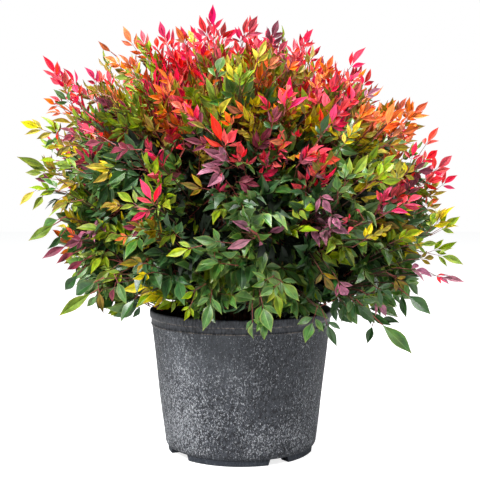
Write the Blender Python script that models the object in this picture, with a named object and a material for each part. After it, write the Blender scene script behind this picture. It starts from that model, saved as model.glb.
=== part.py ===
"""Heavenly bamboo, a mounded dwarf shrub in its round nursery pot.

Metres, +Z up. The origin is the middle of the pot's underside, at the level it stands on.
The front of the plant faces -Y, and +X is to its right.

The clump is a fan of thin canes that rise from the potting mix. Side boughs leave them low
down, and every cane and bough ends where it enters a mass of foliage. The masses stand in
four tiers, each one an uneven closed lump that keeps to its own cell of the crown, with
peaks where leading shoots stand out past the rest.
"""

import math

import bmesh
import bpy
import numpy as np
from mathutils import Vector
from mathutils.bvhtree import BVHTree

# ---- pot ------------------------------------------------------------------------------
POT_HEIGHT = 0.272
RIM_RADIUS = 0.1762
BASE_RADIUS = 0.1467
FOOT_RADIUS = 0.1395
FOOT_INNER_RADIUS = 0.120
FOOT_HEIGHT = 0.0115
FLOOR_THICKNESS = 0.004
WALL = 0.0029
LIP_HEIGHT = 0.0146
LIP_PROUD = 0.0022
RIDGE_DROP = 0.027  # from the rim's top to the fine raised line under the lip
RIDGE_PROUD = 0.0016
POT_SIDES = 48
# Columns of the foot ring that are left out, counted anticlockwise from the front: the
# ring stands on six feet with a drainage notch between each two.
NOTCHES = ((-9, 3), (3, 2), (10, 2), (17, 2), (24, 2), (31, 2))

# ---- potting mix ----------------------------------------------------------------------
MIX_LEVEL = 0.250
CLEARANCE = 0.0003

# ---- crown ----------------------------------------------------------------------------
FAN_ORIGIN = Vector((0.0, 0.0, 0.28))  # the shoots spread from here
CROWN_SIDE = 0.388  # reach of the closed foliage along the level
CROWN_TOP = 0.500  # and straight up
CROWN_SQUARENESS = 2.9
CROWN_TUCK = 0.13  # share by which the lowest foliage stays further in
CROWN_WIDEST = 0.430  # no tip goes further from the middle
CROWN_UNDERSIDE = POT_HEIGHT + 0.005
CORE_RADIUS = 0.108  # the canes stand in the open inside this
CORE_TOP = 0.470
MASS_GAP = 0.0012
FACETS = 100  # directions in which each mass is measured out
# Tier: name, masses, distance of their middles from the axis, height, first azimuth
TIERS = (
    ("top", 4, 0.105, 0.640, 40.0),
    ("upper", 7, 0.238, 0.566, 12.0),
    ("middle", 8, 0.292, 0.436, -18.0),
    ("lower", 9, 0.268, 0.328, 4.0),
)
# Leading shoots that stand out of the crown: azimuth (0 is +X, 90 the back), how far out
# from the axis and how high the tip is.
LEADERS = (
    (-177.0, 0.368, 0.752),
    (170.0, 0.283, 0.792),
    (-164.0, 0.221, 0.797),
    (169.0, 0.158, 0.822),
    (-159.0, 0.055, 0.843),
    (72.0, 0.063, 0.838),
    (-16.0, 0.074, 0.817),
    (12.0, 0.141, 0.814),
    (-7.0, 0.235, 0.767),
    (11.0, 0.272, 0.732),
    (6.0, 0.369, 0.674),
    (-6.0, 0.372, 0.617),
    (7.0, 0.424, 0.571),
    (-4.0, 0.419, 0.451),
    (2.0, 0.431, 0.363),
    (-7.0, 0.418, 0.333),
    (-9.0, 0.369, 0.268),
    (-4.0, 0.320, 0.193),
    (-156.0, 0.245, 0.260),
    (-175.0, 0.347, 0.258),
    (172.0, 0.360, 0.295),
    (180.0, 0.385, 0.373),
    (-173.0, 0.400, 0.405),
    (177.0, 0.430, 0.479),
    (-176.0, 0.414, 0.561),
    (176.0, 0.428, 0.620),
    (180.0, 0.370, 0.675),
    (-88.0, 0.428, 0.470),
    (-70.0, 0.405, 0.560),
    (-112.0, 0.398, 0.580),
    (-60.0, 0.300, 0.720),
    (92.0, 0.430, 0.455),
    (70.0, 0.402, 0.585),
    (118.0, 0.400, 0.610),
    (95.0, 0.270, 0.765),
)
SHOOTS_PER_MASS = 2

# ---- canes and boughs -----------------------------------------------------------------
CANE_RADIUS = 0.0062
CANE_FLARE = 0.55  # share by which a cane is thicker at the mix
CANE_FLARE_HEIGHT = 0.010
CANE_TIP = 0.62  # share of its radius left where it enters a mass
CANE_SIDES, CANE_RINGS = 7, 7
BOUGH_RADIUS = 0.0036
BOUGH_SIDES, BOUGH_RINGS = 6, 4
SEED = 20


def clear_scene():
    for obj in list(bpy.data.objects):
        bpy.data.objects.remove(obj, do_unlink=True)


def material(name, colour, roughness, metallic=0.0):
    made = bpy.data.materials.new(name)
    made.use_nodes = True
    shader = made.node_tree.nodes["Principled BSDF"]
    shader.inputs["Base Color"].default_value = (*colour, 1.0)
    shader.inputs["Roughness"].default_value = roughness
    shader.inputs["Metallic"].default_value = metallic
    made.diffuse_color = (*colour, 1.0)
    return made


def add_object(name, mesh, look, smooth=False):
    obj = bpy.data.objects.new(name, mesh)
    bpy.context.scene.collection.objects.link(obj)
    mesh.materials.append(look)
    if smooth:
        mesh.shade_smooth()
        mesh.set_sharp_from_angle(angle=math.radians(35))
    return obj


def finish_mesh(bm, name):
    bmesh.ops.recalc_face_normals(bm, faces=bm.faces)
    mesh = bpy.data.meshes.new(name)
    bm.to_mesh(mesh)
    bm.free()
    return mesh


# ---- pot ------------------------------------------------------------------------------


def wall_radius(z):
    """Outer radius of the plain wall, which flares a little more below than above."""
    low, high = BASE_RADIUS, RIM_RADIUS - LIP_PROUD - RIDGE_PROUD * 0.5
    t = (z - 0.023) / (POT_HEIGHT - LIP_HEIGHT - 0.023)
    return low + (high - low) * (t + 0.10 * t * (1 - t))


def pot_profile():
    """(radius, height) up the outside, over the lip and down the inside to the floor."""
    lip_foot = POT_HEIGHT - LIP_HEIGHT
    ridge = POT_HEIGHT - RIDGE_DROP
    neck = wall_radius(ridge)
    outside = [
        (BASE_RADIUS - 0.0042, FOOT_HEIGHT),
        (BASE_RADIUS - 0.0010, FOOT_HEIGHT + 0.0045),
        (BASE_RADIUS, 0.023),
        (wall_radius(0.13), 0.13),
        (neck, ridge - 0.0015),
        (neck + RIDGE_PROUD, ridge + 0.0002),
        (neck + RIDGE_PROUD, lip_foot),
        (RIM_RADIUS - 0.0006, lip_foot + 0.0010),
        (RIM_RADIUS, POT_HEIGHT - 0.0020),
        (RIM_RADIUS - 0.0014, POT_HEIGHT),
    ]
    inside = [
        (RIM_RADIUS - 0.0042, POT_HEIGHT),
        (wall_radius(lip_foot) - WALL, lip_foot),
        (BASE_RADIUS - WALL, 0.024),
        (BASE_RADIUS - WALL - 0.0040, FOOT_HEIGHT + FLOOR_THICKNESS),
    ]
    return outside + inside


def ring(bm, radius, z, sides):
    return [
        bm.verts.new(
            (
                radius * math.cos(math.tau * i / sides),
                radius * math.sin(math.tau * i / sides),
                z,
            )
        )
        for i in range(sides)
    ]


def bridge(bm, low, high):
    count = len(low)
    return [
        bm.faces.new((low[i], low[(i + 1) % count], high[(i + 1) % count], high[i]))
        for i in range(count)
    ]


def cap(bm, loop, centre):
    count = len(loop)
    return [bm.faces.new((loop[i], loop[(i + 1) % count], centre)) for i in range(count)]


def make_pot(look):
    """One turned shell. The foot ring is drawn down from its floor, with the notches left."""
    bm = bmesh.new()
    profile = pot_profile()
    rings = [ring(bm, r, z, POT_SIDES) for r, z in profile]
    for low, high in zip(rings, rings[1:]):
        bridge(bm, low, high)
    cap(bm, rings[-1], bm.verts.new((0, 0, profile[-1][1])))
    outer = ring(bm, FOOT_RADIUS, FOOT_HEIGHT, POT_SIDES)
    inner = ring(bm, FOOT_INNER_RADIUS, FOOT_HEIGHT, POT_SIDES)
    bridge(bm, outer, rings[0])
    foot_faces = bridge(bm, inner, outer)
    cap(bm, inner, bm.verts.new((0, 0, FOOT_HEIGHT)))
    left_out = set()
    front = POT_SIDES * 3 // 4
    for first, count in NOTCHES:
        left_out |= {(front + first + k) % POT_SIDES for k in range(count)}
    feet = [f for i, f in enumerate(foot_faces) if i not in left_out]
    drawn = bmesh.ops.extrude_face_region(bm, geom=feet)
    bmesh.ops.delete(bm, geom=feet, context="FACES_ONLY")
    moved = [v for v in drawn["geom"] if isinstance(v, bmesh.types.BMVert)]
    bmesh.ops.translate(bm, verts=moved, vec=(0, 0, -FOOT_HEIGHT))
    return add_object("pot", finish_mesh(bm, "pot"), look, smooth=True)


def make_mix(look):
    """The potting mix, a plug with a flat top that stands just clear of the pot."""
    bm = bmesh.new()
    floor = FOOT_HEIGHT + FLOOR_THICKNESS + CLEARANCE
    gap = WALL + 0.0009
    levels = [
        (BASE_RADIUS - gap - 0.0045, floor),
        (BASE_RADIUS - gap, 0.026),
        (wall_radius(0.13) - gap - 0.0004, 0.13),
        (wall_radius(MIX_LEVEL - 0.010) - gap - 0.0004, MIX_LEVEL - 0.004),
        (wall_radius(MIX_LEVEL - 0.010) - gap - 0.010, MIX_LEVEL),
    ]
    rings = [ring(bm, r, z, POT_SIDES) for r, z in levels]
    for low, high in zip(rings, rings[1:]):
        bridge(bm, low, high)
    cap(bm, rings[-1], bm.verts.new((0, 0, MIX_LEVEL)))
    cap(bm, rings[0], bm.verts.new((0, 0, floor)))
    return add_object("potting_mix", finish_mesh(bm, "potting_mix"), look)


# ---- foliage --------------------------------------------------------------------------


def crown_reach(direction):
    """How far the closed foliage goes from the fan's origin, in a direction from it."""
    level = math.hypot(direction.x, direction.y) / CROWN_SIDE
    up = abs(direction.z) / CROWN_TOP
    power = CROWN_SQUARENESS
    reach = (level**power + up**power) ** (-1 / power)
    azimuth = math.atan2(direction.y, direction.x)
    swell = 0.016 * math.sin(3 * azimuth + 0.7) + 0.012 * math.sin(5 * azimuth + 2.1)
    tuck = CROWN_TUCK * min(max((0.30 - direction.z) / 0.30, 0.0), 1.0)
    return reach * (1 + swell * math.hypot(direction.x, direction.y) - tuck)


def inside_crown(point):
    offset = point - FAN_ORIGIN
    distance = offset.length
    return distance < 1e-6 or distance < crown_reach(offset / distance)


def to_crown(start, direction, furthest=0.4):
    """Distance from a point inside the crown to its surface, along a direction."""
    low, high = 0.0, furthest
    for _ in range(22):
        middle = (low + high) / 2
        if inside_crown(start + direction * middle):
            low = middle
        else:
            high = middle
    return low


def tier_middles():
    """(name, middle, outward direction, tier) of every mass."""
    found = []
    for tier, (name, count, out, height, first) in enumerate(TIERS):
        for k in range(count):
            azimuth = math.radians(first + 360.0 * k / count + 5.0 * math.sin(2.4 * k))
            outward = Vector((math.cos(azimuth), math.sin(azimuth), 0))
            lift = 0.012 * math.sin(1.9 * k + tier)
            middle = outward * (out + 0.010 * math.sin(3.1 * k + tier))
            middle.z = height + lift
            found.append((f"foliage_{name}_{k + 1}", middle, outward, name))
    return found


def cell_planes(index, middles):
    """The planes (normal, offset) with normal.x <= offset that bound a mass."""
    _, middle, outward, tier = middles[index]
    planes = []
    for other_index, (_, other, _, _) in enumerate(middles):
        if other_index == index:
            continue
        across = other - middle
        length = across.length
        if length > 0.45:
            continue
        normal = across / length
        planes.append((normal, normal.dot((middle + other) / 2) - MASS_GAP / 2))
    planes.append((Vector((0, 0, -1)), -CROWN_UNDERSIDE))
    if tier == "top":
        planes.append((Vector((0, 0, -1)), -CORE_TOP))
    else:
        planes.append((-outward, -CORE_RADIUS))
    return planes


def within(point, planes, margin=0.0):
    return all(normal.dot(point) <= offset - margin for normal, offset in planes)


def spread_directions(count, turn):
    """Directions spread evenly over a sphere along a spiral."""
    golden = math.pi * (3 - math.sqrt(5))
    for k in range(count):
        z = 1 - 2 * (k + 0.5) / count
        level = math.sqrt(1 - z * z)
        yield Vector(
            (level * math.cos(golden * k + turn), level * math.sin(golden * k + turn), z)
        )


def tips_of(index, middles, planes, rng):
    """Tips of the shoots that stand out of one mass: the leaders in its cell, and others."""
    _, middle, outward, tier = middles[index]
    tips = []
    others = [p for p in planes if tuple(p[0]) != (0, 0, -1)]
    for azimuth, out, height in LEADERS:
        turn = math.radians(azimuth)
        tip = Vector((out * math.cos(turn), out * math.sin(turn), height))
        nearest = min(middles, key=lambda m: (m[1] - tip).length)
        if nearest[0] != middles[index][0]:
            continue
        for normal, offset in others:
            over = normal.dot(tip) - (offset - 0.003)
            if over > 0:
                tip -= normal * over
        tips.append(tip)
    wanted = len(tips) + SHOOTS_PER_MASS
    for _ in range(60):
        if len(tips) >= wanted:
            break
        lift = 0.9 if tier == "top" else 0.25 if tier == "upper" else 0.0
        aim = (middle - FAN_ORIGIN).normalized() * 1.2 + Vector(rng.normal(0, 0.38, 3))
        aim.z += lift - (0.30 if tier == "lower" else 0.0)
        aim.normalize()
        tip = middle + aim * (to_crown(middle, aim) + rng.uniform(0.020, 0.045))
        if tier == "lower" and tip.z < CROWN_UNDERSIDE:
            if math.hypot(tip.x, tip.y) < 0.28 or tip.z < 0.250:
                continue
        if math.hypot(tip.x, tip.y) > CROWN_WIDEST - 0.010 or tip.z > 0.832:
            continue
        if not within(tip, others, 0.006):
            continue
        if any((tip - t).length < 0.075 for t in tips):
            continue
        tips.append(tip)
    return tips


def make_mass(index, middles, look):
    name, middle, outward, tier = middles[index]
    rng = np.random.default_rng(SEED + index)
    planes = cell_planes(index, middles)
    tips = tips_of(index, middles, planes, rng)
    phases = rng.uniform(0, math.tau, 6)
    waves = [Vector(rng.normal(0, 1, 3)).normalized() * s for s in (3.2, 4.4, 6.0, 7.5)]
    tip_ways = [(t - middle).normalized() for t in tips]
    ways, lengths = [], []
    for way in spread_directions(FACETS, phases[0]):
        if any(way.angle(t) < 0.13 for t in tip_ways):
            continue
        limits = [to_crown(middle, way)]
        for normal, offset in planes:
            facing = normal.dot(way)
            if facing > 1e-4:
                limits.append((offset - normal.dot(middle)) / facing)
        # A smooth minimum, which rounds the corners of the cell and stays inside it.
        reach = sum(max(l, 1e-4) ** -11.0 for l in limits) ** (-1 / 11.0)
        wave = sum(math.sin(w.dot(way) + p) for w, p in zip(waves, phases[1:])) / 4
        length = reach * (0.945 + 0.055 * wave)
        # The foliage rises towards each shoot that stands out.
        for tip, tip_way in zip(tips, tip_ways):
            rise = (tip - middle).length * (0.95 - 1.4 * way.angle(tip_way))
            length = max(length, min(rise, 0.97 * min(limits[1:], default=rise)))
        ways.append(way)
        lengths.append(length)
    for tip, way in zip(tips, tip_ways):
        ways.append(way)
        lengths.append((tip - middle).length)
    bm = bmesh.new()
    points = [bm.verts.new(w) for w in ways]
    bmesh.ops.convex_hull(bm, input=points)
    for vert, way, length in zip(points, ways, lengths):
        vert.co = middle + way * length
    return add_object(name, finish_mesh(bm, name), look)


# ---- canes and boughs -----------------------------------------------------------------


def curve_point(points, t):
    a, b, c = points
    return a * (1 - t) ** 2 + b * (2 * t * (1 - t)) + c * t * t


def sides_of(axis):
    across = axis.cross(Vector((0.3, 1.0, 0.1))).normalized()
    return across, axis.cross(across).normalized()


def free_length(points, radius, tree, start=0.0):
    """The share of a curve that can be walked before its end cap would meet a mass."""
    steps = 160
    for k in range(int(start * steps) + 1, steps + 1):
        t = k / steps
        here = curve_point(points, t)
        near = tree.find_nearest(here)
        if near[0] is not None and near[3] < radius + 0.0008:
            return max(t - 1 / steps, 0.05)
    return 1.0


def make_limb(name, points, radius_at, sides, rings, look, flat_foot):
    """A tapering limb along a curve. A flat foot lies level, for a cane that stands."""
    bm = bmesh.new()
    loops = []
    for k in range(rings):
        t = k / (rings - 1)
        if flat_foot:
            t = t**1.25
        here = curve_point(points, t)
        ahead = curve_point(points, min(t + 0.01, 1)) - curve_point(points, max(t - 0.01, 0))
        axis = Vector((0, 0, 1)) if flat_foot and k == 0 else ahead.normalized()
        across, beside = sides_of(axis)
        radius = radius_at(t)
        loops.append(
            [
                bm.verts.new(
                    here
                    + across * (radius * math.cos(math.tau * i / sides))
                    + beside * (radius * math.sin(math.tau * i / sides))
                )
                for i in range(sides)
            ]
        )
    for low, high in zip(loops, loops[1:]):
        bridge(bm, low, high)
    bm.faces.new(loops[0])
    bm.faces.new(loops[-1])
    bmesh.ops.triangulate(bm, faces=bm.faces)
    return add_object(name, finish_mesh(bm, name), look, smooth=True)


def cut_curve(points, share):
    """The first part of a quadratic curve, as a curve of its own."""
    a, b, c = points
    return (a, a.lerp(b, share), curve_point(points, share))


def make_canes_and_boughs(middles, tree, look):
    rng = np.random.default_rng(SEED)
    canes = []
    for index, (_, middle, outward, tier) in enumerate(middles):
        if tier not in ("top", "upper"):
            continue
        foot_out = (0.020 if tier == "top" else 0.050) * rng.uniform(0.92, 1.08)
        foot = outward * foot_out
        foot.z = MIX_LEVEL + CLEARANCE
        goal = middle.copy()
        bend = foot.lerp(goal, 0.45)
        bend = Vector((bend.x * 0.72, bend.y * 0.72, bend.z + 0.012))
        radius = CANE_RADIUS * rng.uniform(0.86, 1.12)
        whole = (foot, bend, goal)
        share = free_length(whole, radius * CANE_TIP, tree)
        curve = cut_curve(whole, share)
        length = (curve[2] - curve[0]).length

        def radius_at(t, radius=radius, length=length):
            flare = CANE_FLARE * math.exp(-t * length / CANE_FLARE_HEIGHT)
            return radius * (1 - (1 - CANE_TIP) * t) * (1 + flare)

        number = len(canes) + 1
        make_limb(f"cane_{number}", curve, radius_at, CANE_SIDES, CANE_RINGS, look, True)
        canes.append((curve, radius_at, outward, tier))
    number, taken = 0, []
    for _, middle, outward, tier in middles:
        if tier not in ("middle", "lower"):
            continue
        share = 0.50 if tier == "middle" else 0.20
        leaning = [c for c in canes if c[3] == "upper"]
        nearest = max(leaning, key=lambda c: c[2].dot(outward))
        curve, cane_radius, _, _ = nearest
        share += 0.09 * taken.count((nearest[2].to_tuple(), tier))
        taken.append((nearest[2].to_tuple(), tier))
        root = curve_point(curve, share)
        along = (curve_point(curve, share + 0.05) - root).normalized()
        goal = middle.copy()
        away = goal - root
        away = (away - along * away.dot(along)).normalized()
        way = (away + along * 0.45).normalized()
        radius = BOUGH_RADIUS * rng.uniform(0.9, 1.1)
        slant = way.dot(along)
        clear = cane_radius(share) + 3 * CLEARANCE + radius * 1.05 * slant
        start = root + way * (clear / math.sqrt(1 - slant * slant))
        bend = start + way * (0.4 * (goal - start).length)
        whole = (start, bend, goal)
        part = cut_curve(whole, free_length(whole, radius * 0.75, tree))
        number += 1
        make_limb(
            f"bough_{number}",
            part,
            lambda t, radius=radius: radius * (1.05 - 0.30 * t),
            BOUGH_SIDES,
            BOUGH_RINGS,
            look,
            False,
        )
    return canes


def main():
    clear_scene()
    plastic = material("pot_plastic", (0.045, 0.047, 0.052), 0.55)
    mix = material("potting_mix", (0.055, 0.032, 0.020), 0.95)
    bark = material("cane_bark", (0.16, 0.070, 0.042), 0.75)
    leaf = material("foliage", (0.085, 0.150, 0.040), 0.45)
    red_leaf = material("foliage_red", (0.48, 0.055, 0.050), 0.45)
    make_pot(plastic)
    make_mix(mix)
    middles = tier_middles()
    points, faces = [], []
    for index, (_, _, _, tier) in enumerate(middles):
        tint = red_leaf if tier in ("top", "upper") else leaf
        mesh = make_mass(index, middles, tint).data
        first = len(points)
        points += [v.co.copy() for v in mesh.vertices]
        faces += [[first + i for i in p.vertices] for p in mesh.polygons]
    make_canes_and_boughs(middles, BVHTree.FromPolygons(points, faces), bark)


main()
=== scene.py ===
"""Looks of a dwarf heavenly bamboo in its nursery pot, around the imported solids.

The limbs that the solids hold get bark. Each foliage mass is replaced by twigs that fork on
from its limb, and by sprays of leaflets that reach to the mass's own surface. Tints are
plain colours dealt out by spray.
"""

import math

import bpy
import numpy as np
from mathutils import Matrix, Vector
from mathutils.bvhtree import BVHTree
from mathutils.kdtree import KDTree


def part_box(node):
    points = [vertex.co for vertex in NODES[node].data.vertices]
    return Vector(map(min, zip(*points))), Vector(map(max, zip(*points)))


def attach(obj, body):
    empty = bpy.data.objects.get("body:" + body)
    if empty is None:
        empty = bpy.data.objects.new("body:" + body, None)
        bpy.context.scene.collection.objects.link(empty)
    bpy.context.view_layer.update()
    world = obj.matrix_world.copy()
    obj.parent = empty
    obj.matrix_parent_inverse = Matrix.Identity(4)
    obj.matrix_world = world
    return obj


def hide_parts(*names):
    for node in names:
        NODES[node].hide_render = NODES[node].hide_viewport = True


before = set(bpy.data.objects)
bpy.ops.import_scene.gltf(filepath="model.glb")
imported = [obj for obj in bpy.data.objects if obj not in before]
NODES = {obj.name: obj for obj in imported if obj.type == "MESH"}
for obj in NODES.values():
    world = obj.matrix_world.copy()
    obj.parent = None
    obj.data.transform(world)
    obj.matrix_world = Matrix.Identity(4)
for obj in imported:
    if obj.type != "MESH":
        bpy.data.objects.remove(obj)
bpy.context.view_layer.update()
SEED = 42

# ---- the view -------------------------------------------------------------------------
CAMERA_AT = Vector((-0.0015, -1.8, 0.504))
CAMERA_PITCH = 0.0557
FOCAL_PX = 932.0
PICTURE_PX = 480.0

# ---- the crown ------------------------------------------------------------------------
FAN = Vector((0.0, 0.0, 0.26))
# The leading shoots, as in the solids: azimuth, distance from the axis, height of the tip.
LEADERS = (
    (-177.0, 0.368, 0.752, "red"),
    (170.0, 0.283, 0.792, "copper"),
    (-164.0, 0.221, 0.797, "orange"),
    (169.0, 0.158, 0.822, "red"),
    (-159.0, 0.055, 0.843, "crimson"),
    (72.0, 0.063, 0.838, "red"),
    (-16.0, 0.074, 0.817, "maroon"),
    (12.0, 0.141, 0.814, "crimson"),
    (-7.0, 0.235, 0.767, "crimson"),
    (11.0, 0.272, 0.732, "red"),
    (6.0, 0.369, 0.674, "orange"),
    (-6.0, 0.372, 0.617, "crimson"),
    (7.0, 0.424, 0.571, "crimson"),
    (-4.0, 0.419, 0.451, "yellow"),
    (2.0, 0.431, 0.363, "lime"),
    (-7.0, 0.418, 0.333, "maroon"),
    (-9.0, 0.369, 0.268, "deep"),
    (-4.0, 0.320, 0.193, "deep"),
    (-156.0, 0.245, 0.260, "deep"),
    (-175.0, 0.347, 0.258, "lime"),
    (172.0, 0.360, 0.295, "green"),
    (180.0, 0.385, 0.373, "maroon"),
    (-173.0, 0.400, 0.405, "lime"),
    (177.0, 0.430, 0.479, "lime"),
    (-176.0, 0.414, 0.561, "olive"),
    (176.0, 0.428, 0.620, "yellow"),
    (180.0, 0.370, 0.675, "orange"),
    (-88.0, 0.428, 0.470, "green"),
    (-70.0, 0.405, 0.560, "olive"),
    (-112.0, 0.398, 0.580, "crimson"),
    (-60.0, 0.300, 0.720, "orange"),
    (92.0, 0.430, 0.455, "lime"),
    (70.0, 0.402, 0.585, "red"),
    (118.0, 0.400, 0.610, "orange"),
    (95.0, 0.270, 0.765, "red"),
)


def linear(*srgb):
    """A colour given in 0 to 255 as a screen shows it, in linear light."""
    out = []
    for c in srgb:
        c = c / 255
        out.append(c / 12.92 if c <= 0.04045 else ((c + 0.055) / 1.055) ** 2.4)
    return tuple(out)


# name: blade, margin and tip, midrib and veins, roughness, width of a leaflet to its length
TINTS = {
    # shade is painted shade: a near-black tint for the leaflets deep inside and in the gaps of the front.
    "shade": ((14, 24, 12), (22, 34, 18), (30, 44, 24), 0.60, 0.42),
    "deep": ((42, 82, 36), (88, 106, 48), (78, 114, 66), 0.35, 0.41),
    "green": ((68, 114, 44), (148, 150, 66), (116, 150, 80), 0.36, 0.43),
    "lime": ((122, 150, 24), (182, 164, 40), (106, 134, 34), 0.42, 0.36),
    "olive": ((132, 118, 22), (186, 96, 40), (96, 92, 30), 0.44, 0.35),
    "yellow": ((190, 178, 10), (236, 160, 22), (164, 162, 20), 0.50, 0.35),
    "orange": ((248, 112, 14), (232, 62, 32), (164, 66, 22), 0.52, 0.34),
    "copper": ((198, 96, 32), (208, 58, 48), (122, 58, 34), 0.52, 0.35),
    "coral": ((250, 76, 66), (246, 48, 60), (210, 84, 72), 0.52, 0.40),
    "red": ((244, 48, 62), (236, 38, 68), (146, 26, 46), 0.52, 0.34),
    "crimson": ((208, 44, 72), (194, 40, 80), (106, 26, 46), 0.52, 0.35),
    "maroon": ((124, 44, 62), (158, 56, 76), (82, 28, 40), 0.52, 0.37),
    "mauve": ((154, 94, 114), (194, 108, 128), (112, 58, 74), 0.50, 0.39),
}

# What a zone of the crown is made of: tint of the outer leaflets, then of those behind.
BLENDS = {
    "red": (("red", 6), ("crimson", 2), ("orange", 1)),
    "crimson": (("crimson", 5), ("red", 4), ("maroon", 1)),
    "coral": (("coral", 6), ("red", 3), ("orange", 1)),
    "orange": (("orange", 6), ("copper", 2), ("yellow", 2), ("red", 1)),
    "copper": (("copper", 4), ("orange", 2), ("olive", 3), ("maroon", 1)),
    "yellow": (("yellow", 5), ("lime", 4), ("olive", 1)),
    "lime": (("lime", 6), ("green", 3), ("yellow", 2), ("olive", 1)),
    "olive": (("olive", 5), ("lime", 2), ("green", 3), ("copper", 1)),
    "maroon": (("maroon", 6), ("crimson", 2), ("mauve", 2)),
    "mauve": (("mauve", 6), ("maroon", 2)),
    "green": (("green", 6), ("deep", 3), ("lime", 3)),
    "deep": (("deep", 6), ("green", 3), ("lime", 1)),
}
BEHIND = {
    "red": "maroon",
    "crimson": "maroon",
    "coral": "mauve",
    "orange": "olive",
    "copper": "olive",
    "yellow": "lime",
    "lime": "green",
    "olive": "green",
    "maroon": "deep",
    "mauve": "deep",
    "green": "deep",
    "deep": "deep",
    "shade": "shade",
}
# High up the leaflets behind are tinted too.
BEHIND_HIGH = {
    "red": ("coral", "crimson", "olive", "yellow"),
    "crimson": ("red", "coral", "olive"),
    "coral": ("red", "crimson"),
    "orange": ("copper", "olive", "lime"),
    "copper": ("olive", "lime", "maroon"),
    "yellow": ("olive", "lime"),
    "lime": ("olive", "green"),
    "olive": ("lime", "copper", "green"),
    "maroon": ("crimson", "olive"),
    "mauve": ("maroon", "olive"),
    "green": ("olive", "deep"),
    "deep": ("green", "deep"),
    "shade": ("maroon", "deep"),
}
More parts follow.
